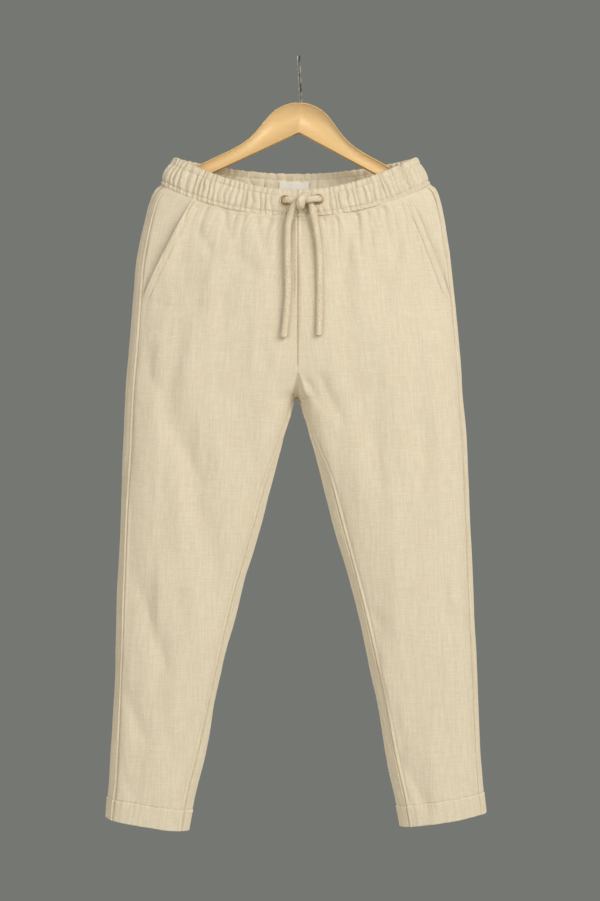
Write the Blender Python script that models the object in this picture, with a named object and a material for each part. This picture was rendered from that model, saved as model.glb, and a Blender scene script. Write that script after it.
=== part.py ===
"""Cotton trousers with a drawstring waist, hung by the waist on a wooden hanger.

The origin is the inner crown of the hanger's hook, where it rests on a rail. +Z is up and
the front of the trousers faces -Y. Left and right are as seen from the front. All sizes
are in metres, and a drop is a distance below the origin.
"""
import math

import bmesh
import bpy
import numpy as np

# ------------------------------------------------------------------ cloth and seams
CLOTH = 0.0015                  # one layer of cloth
HEM_CLOTH = 0.0026              # the turned-up hem
BAND_CLOTH = 0.0034             # the elastic casing, measured at a trough between gathers
BAG_CLOTH = 0.0010              # the pocket facing and bag
SEAM_GAP = 0.0003
HALF_GAP = SEAM_GAP / 2
LAYER_GAP = 0.0010              # between two layers that lie on each other

# ------------------------------------------------------------------ garment outline
AXIS_X = -0.0052                # middle of the garment; the hook is a little to its right
# Outer silhouette: drop, half width left and right of the axis.
SIDE_OUTLINE = [
    (0.1803, 0.2000, 0.1945),
    (0.1900, 0.2095, 0.2035),
    (0.2080, 0.2190, 0.2110),
    (0.2330, 0.2265, 0.2170),
    (0.2690, 0.2340, 0.2230),
    (0.3040, 0.2395, 0.2285),
    (0.3580, 0.2445, 0.2340),
    (0.4290, 0.2500, 0.2405),
    (0.5000, 0.2555, 0.2460),
    (0.5790, 0.2595, 0.2510),
    (0.6740, 0.2635, 0.2550),
    (0.7690, 0.2680, 0.2590),
    (0.9110, 0.2740, 0.2655),
    (1.0540, 0.2805, 0.2720),
    (1.1270, 0.2865, 0.2785),
]
# Inner silhouette of each leg: drop, distance left and right of the axis.
INNER_OUTLINE = [
    (0.5070, 0.0000, 0.0000),
    (0.5100, 0.0052, 0.0048),
    (0.5140, 0.0080, 0.0070),
    (0.5310, 0.0115, 0.0100),
    (0.5790, 0.0230, 0.0225),
    (0.6260, 0.0364, 0.0364),
    (0.6740, 0.0497, 0.0490),
    (0.7450, 0.0705, 0.0680),
    (0.8160, 0.0895, 0.0860),
    (0.8870, 0.1062, 0.1025),
    (0.9590, 0.1224, 0.1185),
    (1.0300, 0.1373, 0.1310),
    (1.1010, 0.1530, 0.1450),
    (1.1460, 0.1600, 0.1515),
]
WAIST_DROP_SIDE = 0.1803        # waist seam at the side silhouettes
WAIST_DROP_FRONT = 0.2404       # waist seam at the centre front
WAIST_DROP_BACK = 0.2050        # the back rise is cut higher
THIGH_DROP_SIDE = 0.4850        # the outer end of the row that passes through the crotch
CROTCH_DROP = 0.5070
HEM_DROP_OUTER = (1.1264, 1.1195)
HEM_DROP_INNER = (1.1456, 1.1400)
HEM_STATION = 1.953             # the lowest 30 mm, from here down, is the turned-up hem

# Half depth of the hanging cloth, front to back: station, size.
# Station 0 is the waist seam, 1 the crotch and 2 the hem.
HALF_DEPTH = [
    (0.00, 0.0440),
    (0.12, 0.0475),
    (0.50, 0.0480),
    (1.00, 0.0430),
    (1.40, 0.0370),
    (2.00, 0.0300),
]
RISE_START = 0.575              # station where the centre seams start to curve under

# ------------------------------------------------------------------ seam lines
SIDE_SEAM_INBOARD = (0.0130, 0.0070)      # how far each side seam rolls to the front
INSEAM_INBOARD = (0.0090, 0.0120)         # the same for each inseam
INSEAM_ROLL_START = 1.004                 # station where the inseam leaves the crotch
INSEAM_ROLL_END = 1.06
POCKET_TOP_FROM_AXIS = (0.1552, 0.1660)   # upper end of each slanted pocket edge
POCKET_END = 0.575                        # station where that edge meets the side seam
BAG_FROM_AXIS = 0.133                     # inner edge of the pocket bag
BAG_END = 0.96                            # the bag's rows end before this station
BAG_ROUND_WIDTH = 0.075                   # the bag's inner edge comes out this far, in metres,
BAG_ROUND_START = 0.62                    # from this station
BAG_ROUND_LENGTH = 0.34                   # over this many stations
TUCK_SHARE = 0.80                         # share of the opening over which the facing sinks
TUCK_LEAST = 0.02                         # least width of the opening there, in phi
TUCK_END_RUN = (0.12, 0.10)               # it is down 0.02 above the opening's lower end

# ------------------------------------------------------------------ waistband
BAND_TOP_HALF_WIDTH = (0.1833, 0.1773)
BAND_HALF_WIDTH = 0.1905        # at the height of the eyelets
BAND_TOP_DROP_SIDE = 0.1454
BAND_TOP_DROP_FRONT = 0.2006
BAND_TOP_DROP_BACK = 0.1647
BAND_TOP_HALF_DEPTH = 0.0425
BAND_SIDE_BULGE = 0.0065        # the casing stands out between its two edges at the sides
BAND_JOIN_FROM_AXIS = (0.1490, 0.1680)    # its two joins, above the pockets
GATHERS_FRONT = 42
GATHERS_BACK = 56
GATHER_HEIGHT = 0.0011
GATHER_UNEVENNESS = 0.30        # of a wave
GATHER_DRIFTS = [(5, 0.59), (13, 0.41)]   # sine waves of the spacing: number, share
BAND_PUFF = 0.0014
# Across the band: share of its height, share of the puff, share of the gather height.
BAND_ROWS = [
    (0.00, 0.00, 0.35),
    (0.14, 0.20, 0.55),
    (0.44, 1.00, 1.00),
    (0.74, 0.25, 0.60),
    (0.90, 0.60, 0.90),
    (1.00, 0.15, 0.70),
]

INNER_BAND_ROWS = [0, 2, 5]     # the plain inside has only these rows

# ------------------------------------------------------------------ eyelets and drawstring
EYELET_SPOTS = [(-0.0233, 0.2174), (0.0262, 0.2156)]      # x and drop of each centre
EYELET_RING_RADIUS = 0.0066
EYELET_WIRE_RADIUS = 0.0011
EYELET_HOLE_RADIUS = 0.0052
EYELET_HOLE_DEPTH = 0.0022
EYELET_FLAT_RADIUS = 0.0087     # the casing is flat this near an eyelet
EYELET_FLAT_FADE = 0.0102       # and fully gathered this much farther out
EYELET_CUTTER_REACH = 0.003     # how far the hole's cutter stands out of the casing
CORD_RADIUS = 0.0042
KNOT_DROP = 0.2189
# Route of each strand: x, distance in front of the waistband, height above the knot.
STRAND_FROM_LEFT = [
    (-0.0233, -0.0014, 0.0015),
    (-0.0232, 0.0014, 0.0015),
    (-0.0215, 0.0054, 0.0013),
    (-0.0176, 0.0079, 0.0007),
    (-0.0120, 0.0075, -0.0014),
    (-0.0055, 0.0066, -0.0055),
    (0.0008, 0.0088, -0.0102),
    (0.0050, 0.0150, -0.0090),
    (0.0052, 0.0210, -0.0020),
    (0.0038, 0.0202, 0.0064),
    (0.0048, 0.0124, 0.0110),
    (0.0092, 0.0058, 0.0082),
    (0.0122, 0.0049, -0.0015),
    (0.0152, 0.0060, -0.0135),
    (0.0202, 0.0072, -0.0300),
    (0.0245, 0.0076, -0.0570),
    (0.0266, 0.0076, -0.0860),
    (0.0270, 0.0074, -0.1300),
    (0.0266, 0.0072, -0.1640),
    (0.0258, 0.0070, -0.1960),
]
STRAND_FROM_RIGHT = [
    (0.0262, -0.0014, 0.0033),
    (0.0261, 0.0014, 0.0033),
    (0.0246, 0.0062, 0.0031),
    (0.0212, 0.0106, 0.0028),
    (0.0158, 0.0133, 0.0023),
    (0.0096, 0.0137, 0.0016),
    (0.0036, 0.0120, 0.0007),
    (-0.0030, 0.0136, 0.0004),
    (-0.0092, 0.0165, -0.0024),
    (-0.0132, 0.0146, -0.0090),
    (-0.0158, 0.0106, -0.0175),
    (-0.0178, 0.0078, -0.0280),
    (-0.0196, 0.0072, -0.0430),
    (-0.0197, 0.0074, -0.0860),
    (-0.0192, 0.0074, -0.1300),
    (-0.0212, 0.0072, -0.1600),
    (-0.0254, 0.0070, -0.1990),
]
POINTS_PER_STEP = 2

# ------------------------------------------------------------------ label
LABEL_HALF_WIDTH = 0.0245
LABEL_LOW = 0.02                # shares of the band's height
LABEL_HIGH = 0.72
LABEL_CLOTH = 0.0010

# ------------------------------------------------------------------ hanger
HANGER_TILT = math.radians(1.7)           # the right end hangs a little lower
HANGER_HALF_LENGTH = 0.2081
HANGER_THICKNESS = 0.012
HANGER_BEVEL = 0.0030
HANGER_SECTIONS = [0.006, 0.014, 0.022, 0.032, 0.044, 0.058, 0.074, 0.092, 0.115, 0.145, 0.175]
# Rounded ends: distance from the end, share of the full section.
HANGER_END = [(0.000, 0.45), (0.004, 0.74), (0.014, 1.00)]
# Top edge of the wood: distance from its middle, drop.
HANGER_TOP = [
    (0.000, 0.0668),
    (0.010, 0.0672),
    (0.020, 0.0700),
    (0.030, 0.0768),
    (0.043, 0.0878),
    (0.060, 0.1058),
    (0.076, 0.1230),
    (0.096, 0.1370),
    (0.119, 0.1488),
    (0.145, 0.1618),
    (0.175, 0.1770),
    (0.210, 0.1950),
]
HANGER_BOTTOM_DROP = 0.1135     # underside at its middle
HANGER_BOTTOM_SLOPE = 0.505
HANGER_BOTTOM_ROUND = 0.010     # half width of the rounding at its middle
STEM_BORE_DEPTH = 0.018
STEM_END_GAP = 0.0005           # between the stem's end and the end of its bore
BORE_START_DROP = 0.060         # the bore's cutter starts above the wood
HOOK_WIRE_RADIUS = 0.0021
STEM_BORE_RADIUS = 0.0025
HOOK_BEND_RADIUS = 0.0200       # of the wire's centre line
HOOK_TIP_DROP = 0.0420
STEM_DROPS = [0.0660, 0.0560]   # places on the straight stem
# Neck between the stem and the bend: distance behind the stem, drop.
HOOK_NECK = [(0.0015, 0.0500), (0.0065, 0.0441), (0.0130, 0.0351)]
HOOK_BEND_ANGLES = (-30, 180, 15)         # first, last and step, in degrees
HOOK_TIP_START = 0.0279         # drop where the straight tip starts

FOLD_FADE = 0.25                # share of its length over which a fold fades, past each end
# Large soft folds, each a trough along a line: face (-1 front, +1 back), x and drop of
# its start, x and drop of its end, half width, depth.
FOLDS = [
    (-1, -0.228, 0.452, -0.147, 0.630, 0.022, 0.0042),
    (-1, -0.158, 0.630, -0.120, 0.815, 0.020, 0.0036),
    (-1, -0.243, 0.765, -0.200, 0.900, 0.018, 0.0036),
    (-1, -0.262, 0.930, -0.230, 1.010, 0.017, 0.0034),
    (-1, -0.234, 0.364, -0.218, 0.480, 0.016, 0.0026),
    (-1, 0.150, 0.245, 0.122, 0.370, 0.019, 0.0036),
    (-1, 0.080, 0.235, 0.066, 0.325, 0.016, 0.0026),
    (-1, 0.182, 0.540, 0.166, 0.640, 0.020, 0.0030),
    (-1, 0.210, 0.704, 0.214, 0.850, 0.018, 0.0030),
    (-1, 0.100, 0.820, 0.120, 0.870, 0.016, 0.0026),
    (-1, 0.142, 1.030, 0.186, 1.105, 0.015, 0.0028),
    (-1, 0.010, 0.475, 0.052, 0.520, 0.014, 0.0028),
    (-1, -0.100, 0.240, -0.086, 0.330, 0.018, 0.0026),
    (1, 0.150, 0.400, 0.070, 0.540, 0.026, 0.0045),
    (1, -0.160, 0.400, -0.080, 0.545, 0.026, 0.0045),
    (1, 0.120, 0.250, 0.105, 0.360, 0.020, 0.0032),
    (1, -0.110, 0.245, -0.100, 0.350, 0.020, 0.0032),
    (1, 0.130, 0.620, 0.165, 0.860, 0.022, 0.0038),
    (1, -0.150, 0.640, -0.180, 0.840, 0.022, 0.0038),
    (1, -0.230, 0.900, -0.205, 1.020, 0.018, 0.0030),
    (1, 0.215, 0.880, 0.200, 1.020, 0.018, 0.0030),
]

# ------------------------------------------------------------------ mesh density
PANEL_COLUMNS = 12
BAG_COLUMNS = [0.0, 0.06, 0.15, 0.3, 0.45, 0.6, 0.8, 1.0]   # shares of the bag's width
UPPER_STATIONS = [0.0, 0.03, 0.08, 0.14, 0.20, 0.26, 0.32, 0.39, 0.45, 0.51]
RISE_ROWS = 6
LEG_STATIONS = [1.006, 1.014, 1.03, 1.06, 1.11, 1.18, 1.27, 1.37, 1.48, 1.59, 1.70, 1.81,
                1.90, 1.95, 1.955, 2.0]
POINTS_PER_GATHER = 2
RING_SIDES = 8                  # of the eyelet's wire
EYELET_SIDES = 24
HOLE_SIDES = 16
BORE_SIDES = 12
LABEL_POINTS = (3, 7)           # up and across
PHASE_STEPS = 40                # places read for each gather to find its crest
SPOT_STEPS = 201                # places tried up the band to find a drop
TINY = 1e-6
NORMAL_STEP = 0.0005

LEFT, RIGHT = 0, 1
SIDE_SIGN = (-1, 1)

# Colour, roughness and metallic value of each finish.
FINISHES = {
    "cloth": ((0.70, 0.58, 0.40), 0.90, 0.0),
    "cord": ((0.74, 0.63, 0.46), 0.88, 0.0),
    "label": ((0.82, 0.79, 0.72), 0.75, 0.0),
    "brass": ((0.62, 0.47, 0.24), 0.35, 1.0),
    "steel": ((0.55, 0.54, 0.52), 0.30, 1.0),
    "wood": ((0.72, 0.43, 0.19), 0.45, 0.0),
}


# ------------------------------------------------------------------ helpers
def mix(low, high, share):
    return low + (high - low) * share


def smooth(value):
    value = np.clip(value, 0.0, 1.0)
    return value * value * (3.0 - 2.0 * value)


def along(table, column, place):
    """Smooth curve through one column of a table, without overshoot, at the given places."""
    knots = np.array([row[0] for row in table])
    values = np.array([row[column] for row in table])
    steps = np.diff(knots)
    rises = np.diff(values) / steps
    before, after = rises[:-1], rises[1:]
    same_way = before * after > 0
    inner = np.where(same_way, 2 * before * after / np.where(same_way, before + after, 1), 0)
    slopes = np.concatenate([rises[:1], inner, rises[-1:]])
    place = np.clip(place, knots[0], knots[-1])
    cell = np.clip(np.searchsorted(knots, place) - 1, 0, len(steps) - 1)
    step = steps[cell]
    t = (place - knots[cell]) / step
    return ((1 + 2 * t) * (1 - t) ** 2 * values[cell] + t * (1 - t) ** 2 * step * slopes[cell]
            + t * t * (3 - 2 * t) * values[cell + 1]
            + t * t * (t - 1) * step * slopes[cell + 1])


def finish(name):
    """Material with a Principled shader, made once for each finish."""
    material = bpy.data.materials.get(name)
    if material is None:
        material = bpy.data.materials.new(name)
        material.use_nodes = True
        colour, roughness, metallic = FINISHES[name]
        shader = material.node_tree.nodes["Principled BSDF"]
        shader.inputs["Base Color"].default_value = (*colour, 1.0)
        shader.inputs["Roughness"].default_value = roughness
        shader.inputs["Metallic"].default_value = metallic
        material.diffuse_color = (*colour, 1.0)
    return material


def add_object(name, points, faces, finish_name, sharp_angle=40):
    """Closed mesh object with its faces turned outwards and its round parts smooth."""
    mesh = bpy.data.meshes.new(name)
    mesh.from_pydata([tuple(point) for point in points], [], [tuple(face) for face in faces])
    work = bmesh.new()
    work.from_mesh(mesh)
    bmesh.ops.recalc_face_normals(work, faces=work.faces)
    work.to_mesh(mesh)
    work.free()
    mesh.shade_smooth()
    mesh.set_sharp_from_angle(angle=math.radians(sharp_angle))
    mesh.materials.append(finish(finish_name).copy())
    thing = bpy.data.objects.new(name, mesh)
    bpy.context.collection.objects.link(thing)
    return thing


def wall(name, outer, inward, finish_name):
    """Closed wall: a grid of outer points, the same grid moved in, and a strip round its rim."""
    rows, columns = outer.shape[:2]
    count = rows * columns
    points = np.concatenate([outer.reshape(-1, 3), (outer + inward).reshape(-1, 3)])
    index = np.arange(count).reshape(rows, columns)
    corners = (index[:-1, :-1], index[1:, :-1], index[1:, 1:], index[:-1, 1:])
    outside = np.stack(corners, axis=-1).reshape(-1, 4)
    inside = outside[:, ::-1] + count
    rim = np.concatenate([index[0, :-1], index[:-1, -1], index[-1, :0:-1], index[:0:-1, 0]])
    ahead = np.roll(rim, -1)
    edge = np.stack([rim, ahead, ahead + count, rim + count], axis=-1)
    faces = np.concatenate([outside, inside, edge])
    return add_object(name, points, faces.tolist(), finish_name)


def normals_of(surface, first, second):
    """Unit normals of a surface of two parameters, by central differences, facing out."""
    across = surface(first + NORMAL_STEP, second) - surface(first - NORMAL_STEP, second)
    down = surface(first, second + NORMAL_STEP) - surface(first, second - NORMAL_STEP)
    normal = np.cross(across, down)
    return normal / np.linalg.norm(normal, axis=-1, keepdims=True)


def rounded_path(points, per_step):
    """Catmull-Rom curve through the points, read a few times between each pair."""
    points = np.array(points)
    ends = np.concatenate([[2 * points[0] - points[1]], points, [2 * points[-1] - points[-2]]])
    path = []
    for start in range(len(points) - 1):
        p0, p1, p2, p3 = ends[start:start + 4]
        for part in range(per_step):
            t = part / per_step
            path.append(0.5 * (2 * p1 + (p2 - p0) * t + (2 * p0 - 5 * p1 + 4 * p2 - p3) * t * t
                               + (3 * p1 - p0 - 3 * p2 + p3) * t ** 3))
    path.append(points[-1])
    return path


def cord(name, path, radius, finish_name):
    """Round cord: a bevelled curve with filled ends."""
    curve = bpy.data.curves.new(name, "CURVE")
    curve.dimensions = "3D"
    curve.bevel_depth = radius
    curve.bevel_resolution = 2
    curve.use_fill_caps = True
    spline = curve.splines.new("POLY")
    spline.points.add(len(path) - 1)
    for point, place in zip(spline.points, path):
        point.co = (*place, 1.0)
    curve.materials.append(finish(finish_name).copy())
    thing = bpy.data.objects.new(name, curve)
    bpy.context.collection.objects.link(thing)
    return thing


def cut(thing, cutter):
    """Take a cutter's shape out of an object."""
    cutter.hide_render = True
    cutter.display_type = "WIRE"
    modifier = thing.modifiers.new("cut", "BOOLEAN")
    modifier.object = cutter
    modifier.operation = "DIFFERENCE"
    modifier.solver = "EXACT"


def cylinder(name, start, end, radius, sides):
    """Closed cylinder between two points."""
    start, end = np.array(start), np.array(end)
    axis = (end - start) / np.linalg.norm(end - start)
    helper = np.array([1.0, 0.0, 0.0]) if abs(axis[0]) < 0.9 else np.array([0.0, 0.0, 1.0])
    first = np.cross(axis, helper)
    first /= np.linalg.norm(first)
    second = np.cross(axis, first)
    angles = np.arange(sides) * 2 * math.pi / sides
    ring = radius * (np.outer(np.cos(angles), first) + np.outer(np.sin(angles), second))
    points = np.concatenate([start + ring, end + ring])
    faces = [[side, (side + 1) % sides, (side + 1) % sides + sides, side + sides]
             for side in range(sides)]
    faces.append(list(range(sides))[::-1])
    faces.append(list(range(sides, 2 * sides)))
    return add_object(name, points, faces, "steel")


# ------------------------------------------------------------------ the garment's surface
def fold_relief(face, x, drop):
    """Depth of the large soft folds of one face at a place: the sum of all its troughs."""
    relief = np.zeros_like(x)
    for fold_face, x1, drop1, x2, drop2, half_width, depth in FOLDS:
        if fold_face != face:
            continue
        run = np.array([x2 - x1, drop2 - drop1])
        length = np.linalg.norm(run)
        share = ((x - x1) * run[0] + (drop - drop1) * run[1]) / length ** 2
        aside = ((x - x1) * run[1] - (drop - drop1) * run[0]) / length
        fade = smooth((share + FOLD_FADE) / (2 * FOLD_FADE))
        fade *= smooth((1 + FOLD_FADE - share) / (2 * FOLD_FADE))
        relief += depth * fade * np.exp(-(aside / half_width) ** 2)
    return relief


def row_ends(side, station):
    """Outer end, and front and back inner ends, of the rows at the given stations."""
    upper = np.clip(station, 0, 1)
    lower = np.clip(station - 1, 0, 1)
    outer_drop = (mix(WAIST_DROP_SIDE, THIGH_DROP_SIDE, upper)
                  + (HEM_DROP_OUTER[side] - THIGH_DROP_SIDE) * lower)
    leg_drop = (HEM_DROP_INNER[side] - CROTCH_DROP) * lower
    front_drop = mix(WAIST_DROP_FRONT, CROTCH_DROP, upper) + leg_drop
    back_drop = mix(WAIST_DROP_BACK, CROTCH_DROP, upper) + leg_drop
    outer_x = along(SIDE_OUTLINE, side + 1, outer_drop)
    inner_x = np.where(station > 1, along(INNER_OUTLINE, side + 1, front_drop), 0.0)
    return outer_x, outer_drop, inner_x, front_drop, back_drop


def closing(station):
    """0 where left and right share one hollow, 1 where each leg is a tube of its own.

    Between, it makes the centre seams run on a quarter ellipse, the curved rise."""
    turn = np.clip((station - RISE_START) / (1 - RISE_START), 0, 1)
    return np.arcsin(turn) * 2 / math.pi


def ring_shape(phi, closed):
    """Share of the way from the outer to the inner end of a row, and share of its depth.

    phi runs from -1, front inner end, through 0, the outer silhouette, to 1, back inner
    end. A closed row goes on past 1, round to the front again. The row is an arc of an
    ellipse: a quarter where the hollow is shared, half of one where a leg is closed."""
    wrapped = phi > 1
    u = np.where(wrapped, 2 - phi, np.abs(phi))
    face = np.where((phi < 0) | wrapped, -1.0, 1.0)
    last = math.pi / 2 * (1 + closed)
    across = (1 - np.cos(u * last)) / (1 - np.cos(last))
    return across, np.sin(u * last), face


def body(side, phi, station):
    """Outer surface of the trousers below the waistband.

    A row runs straight from its outer to its inner end in front view, with a dip that fades
    out below the waist. Its depth is half an ellipse, less the folds."""
    phi, station = np.broadcast_arrays(phi, station)
    outer_x, outer_drop, inner_x, front_drop, back_drop = row_ends(side, station)
    across, depth, face = ring_shape(phi, closing(station))
    inner_drop = np.where(face < 0, front_drop, back_drop)
    dip = mix(np.sin(math.pi * np.clip(across, 0, 1) / 2), across, np.clip(station, 0, 1))
    x = AXIS_X + SIDE_SIGN[side] * mix(outer_x, inner_x, across)
    drop = mix(outer_drop, inner_drop, dip)
    away = np.clip(depth, 0, 1)
    relief = np.where(face < 0, fold_relief(-1, x, drop), fold_relief(1, x, drop))
    y = face * (along(HALF_DEPTH, 1, station) * depth - relief * away ** 2)
    return np.stack([x, y, -drop], axis=-1)


def outer_phi(inboard, width, closed):
    """phi of a line at a given distance in from the outer silhouette."""
    last = math.pi / 2 * (1 + closed)
    share = np.clip(inboard / width, 0, 1)
    return np.arccos(1 - share * (1 - np.cos(last))) / last


def seam_phi(side, station):
    """phi of the side seam, on the front face."""
    outer_x, _, inner_x, _, _ = row_ends(side, station)
    return outer_phi(SIDE_SEAM_INBOARD[side], outer_x - inner_x, closing(station))


def inseam_roll(side, station):
    """How far past the inner silhouette, in phi, the inseam lies on the front face."""
    outer_x, _, inner_x, _, _ = row_ends(side, station)
    share = INSEAM_INBOARD[side] / (outer_x - inner_x)
    full = np.arccos(1 - 2 * share) / math.pi
    ramp = (station - INSEAM_ROLL_START) / (INSEAM_ROLL_END - INSEAM_ROLL_START)
    return full * smooth(ramp)


def pocket_phi(side, station):
    """phi of the slanted pocket edge, from the waist seam to the side seam."""
    outer_x = row_ends(side, station)[0]
    end_x = row_ends(side, np.array(POCKET_END))[0] - SIDE_SEAM_INBOARD[side]
    from_axis = mix(POCKET_TOP_FROM_AXIS[side], end_x, station / POCKET_END)
    return outer_phi(outer_x - from_axis, outer_x, closing(station))


def panel_stations():
    turns = np.sin(np.arange(RISE_ROWS + 1) / RISE_ROWS * math.pi / 2)
    rise = mix(RISE_START, 1.0, turns)
    return np.concatenate([UPPER_STATIONS, rise, LEG_STATIONS])[:, None]


def surface_normals(side, phi, station, at_centre):
    """Outward normals; those on a centre seam are shared by the two sides of the seam."""
    shape = np.broadcast(phi, station).shape
    station = np.broadcast_to(station, shape)
    phi = np.broadcast_to(phi, shape)
    inside = np.clip(station, NORMAL_STEP, 2 - NORMAL_STEP)
    highest = np.where(station > 1, 2.0, 1 - NORMAL_STEP)
    held = np.clip(phi, -1 + NORMAL_STEP, highest)
    normal = normals_of(lambda a, b: body(side, a, b), held, inside)
    normal *= -SIDE_SIGN[side]
    normal[at_centre, 0] = 0.0
    crotch = at_centre & (np.abs(station - 1) < TINY)
    normal[crotch] = (0.0, 0.0, -1.0)
    return normal / np.linalg.norm(normal, axis=-1, keepdims=True)


def trim(points, at_edge, toward):
    """Pull the points of an edge back by half a seam gap, towards the next points in."""
    step = toward - points
    step /= np.maximum(np.linalg.norm(step, axis=-1, keepdims=True), TINY)
    points[at_edge] += HALF_GAP * step[at_edge]


def panel(name, side, front):
    """One leg panel, from the waist seam to the hem."""
    station = panel_stations()
    column = np.linspace(0, 1, PANEL_COLUMNS)[None, :]
    seam = seam_phi(side, station)
    roll = inseam_roll(side, station)
    if front:
        edge = np.where(station < POCKET_END, np.maximum(seam, pocket_phi(side, station)), seam)
        phi = mix(-(1 - roll), -edge, column)
    else:
        phi = mix(1 + roll, -seam, column)
    centre = np.zeros(phi.shape, bool)
    centre[:, 0] = station[:, 0] <= 1.0
    points = body(side, phi, station)
    normals = surface_normals(side, phi, station, centre)
    thickness = np.where(station > HEM_STATION, HEM_CLOTH, CLOTH)[..., None]
    sign = SIDE_SIGN[side]
    inner_edge = np.zeros(phi.shape, bool)
    inner_edge[:, 0] = station[:, 0] > 1.0
    outer_edge = np.zeros(phi.shape, bool)
    outer_edge[:, -1] = True
    trim(points, inner_edge, np.roll(points, -1, axis=1))
    trim(points, outer_edge, np.roll(points, 1, axis=1))
    points[centre, 0] += sign * HALF_GAP
    crotch = centre & (np.abs(station - 1) < TINY)
    points[crotch, 1] += (-HALF_GAP if front else HALF_GAP)
    points[0, :, 2] -= SEAM_GAP
    wall(name, points, -normals * thickness, "cloth")


def pocket(name, side):
    """Pocket facing and bag, one layer: it starts at the side seam, fills the opening, tucks
    under the slanted edge of the front panel and goes on behind it."""
    station = panel_stations()
    station = station[station[:, 0] < BAG_END]
    column = np.array(BAG_COLUMNS)[None, :]
    outer_x = row_ends(side, station)[0]
    round_off = BAG_ROUND_WIDTH * smooth((station - BAG_ROUND_START) / BAG_ROUND_LENGTH) ** 2
    bag = outer_phi(outer_x - BAG_FROM_AXIS - round_off, outer_x, closing(station))
    seam = seam_phi(side, station)
    slant = pocket_phi(side, station)
    phi = -mix(seam, bag, column)
    points = body(side, phi, station)
    normals = surface_normals(side, phi, station, np.zeros(phi.shape, bool))
    tuck = CLOTH + LAYER_GAP
    reach = TUCK_SHARE * np.maximum(slant - seam, TUCK_LEAST)
    under = np.where(station < POCKET_END, smooth((-phi - seam) / reach), 1.0)
    end_run = (station - POCKET_END + TUCK_END_RUN[0]) / TUCK_END_RUN[1]
    under = np.maximum(under, smooth(end_run))
    edge = np.zeros(phi.shape, bool)
    edge[:, 0] = True
    trim(points, edge, np.roll(points, -1, axis=1))
    points[0, :, 2] -= SEAM_GAP
    points -= normals * (tuck * under)[..., None]
    wall(name, points, -normals * BAG_CLOTH, "cloth")


# ------------------------------------------------------------------ waistband
def band_relief(turn, height_share):
    """Puff and gathers of the casing, flat near the eyelets.

    turn runs once round the waist: 0 centre front, 1 right, 2 centre back, 3 left."""
    table = BAND_ROWS
    heights = [row[0] for row in table]
    puff = np.interp(height_share, heights, [row[1] for row in table])
    size = np.interp(height_share, heights, [row[2] for row in table])
    wave = np.cos(gather_phase(turn))
    return puff * BAND_PUFF + size * GATHER_HEIGHT * (0.5 + 0.5 * wave)


def band_joins():
    """turn of the left and the right join of the waistband."""
    spots = []
    for side in (LEFT, RIGHT):
        width = SIDE_OUTLINE[0][side + 1]
        share = BAND_JOIN_FROM_AXIS[side] / width
        spots.append(math.asin(share) * 2 / math.pi)
    return -spots[0], spots[1]


def gather_phase(turn):
    """Angle of the gather waves: a fixed number in the front and in the back, unevenly spaced."""
    left, right = band_joins()
    turn = np.where(turn > 2.5, turn - 4, turn)
    in_front = (turn >= left) & (turn <= right)
    front_share = (turn - left) / (right - left)
    back_turn = np.where(turn < left, turn + 4, turn)
    back_share = (back_turn - right) / (left + 4 - right)
    share = np.where(in_front, front_share, back_share)
    count = np.where(in_front, GATHERS_FRONT, GATHERS_BACK)
    uneven = sum(size * np.sin(2 * math.pi * waves * share) for waves, size in GATHER_DRIFTS)
    return 2 * math.pi * (count * share + GATHER_UNEVENNESS * uneven)


def band(turn, height_share):
    """Mid-line surface of the waistband, before its puff and gathers.

    Half an ellipse on each side, whose size runs from the waist seam to the top edge."""
    turn, height_share = np.broadcast_arrays(turn, height_share)
    angle = turn * math.pi / 2
    right_side = np.sin(angle) >= 0
    low = np.where(right_side, SIDE_OUTLINE[0][2], SIDE_OUTLINE[0][1])
    high = np.where(right_side, BAND_TOP_HALF_WIDTH[RIGHT], BAND_TOP_HALF_WIDTH[LEFT])
    bulge = BAND_SIDE_BULGE * np.sin(math.pi * height_share) ** 1.5
    width = mix(low, high, height_share) + bulge
    depth = mix(HALF_DEPTH[0][1], BAND_TOP_HALF_DEPTH, height_share)
    dip = np.sin(math.pi / 2 * (1 - np.abs(np.sin(angle))))
    front = np.cos(angle) >= 0
    low_centre = np.where(front, WAIST_DROP_FRONT, WAIST_DROP_BACK)
    high_centre = np.where(front, BAND_TOP_DROP_FRONT, BAND_TOP_DROP_BACK)
    low_drop = mix(WAIST_DROP_SIDE, low_centre, dip)
    high_drop = mix(BAND_TOP_DROP_SIDE, high_centre, dip)
    drop = mix(low_drop, high_drop, height_share)
    x = AXIS_X + width * np.sin(angle)
    y = -depth * np.cos(angle)
    return np.stack([x, y, -drop], axis=-1)


def band_normal(turn, height_share):
    inside = np.clip(height_share, NORMAL_STEP, 1 - NORMAL_STEP)
    return normals_of(band, turn, inside)


def band_outside(turn, height_share):
    """Outer surface of the waistband with its puff and gathers."""
    turn, height_share = np.broadcast_arrays(turn, height_share)
    points = band(turn, height_share)
    relief = band_relief(turn, height_share)
    for x, drop in EYELET_SPOTS:
        away = np.hypot(points[..., 0] - x, points[..., 2] + drop)
        away = np.where(points[..., 1] < 0, away, 1.0)
        calm = smooth((away - EYELET_FLAT_RADIUS) / EYELET_FLAT_FADE)
        relief = mix(BAND_PUFF, relief, calm)
    return points + band_normal(turn, height_share) * relief[..., None]


def band_turns(start, end, gathers):
    """Turns of the crests and troughs of the gathers between two joins."""
    turn = mix(start, end, np.linspace(0, 1, gathers * PHASE_STEPS + 1))
    phase = gather_phase(np.where(turn > 4, turn - 4, turn))
    phase[0], phase[-1] = 0, 2 * math.pi * gathers
    even = np.linspace(0, 2 * math.pi * gathers, gathers * POINTS_PER_GATHER + 1)
    return np.interp(even, phase, turn)[None, :]


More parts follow.
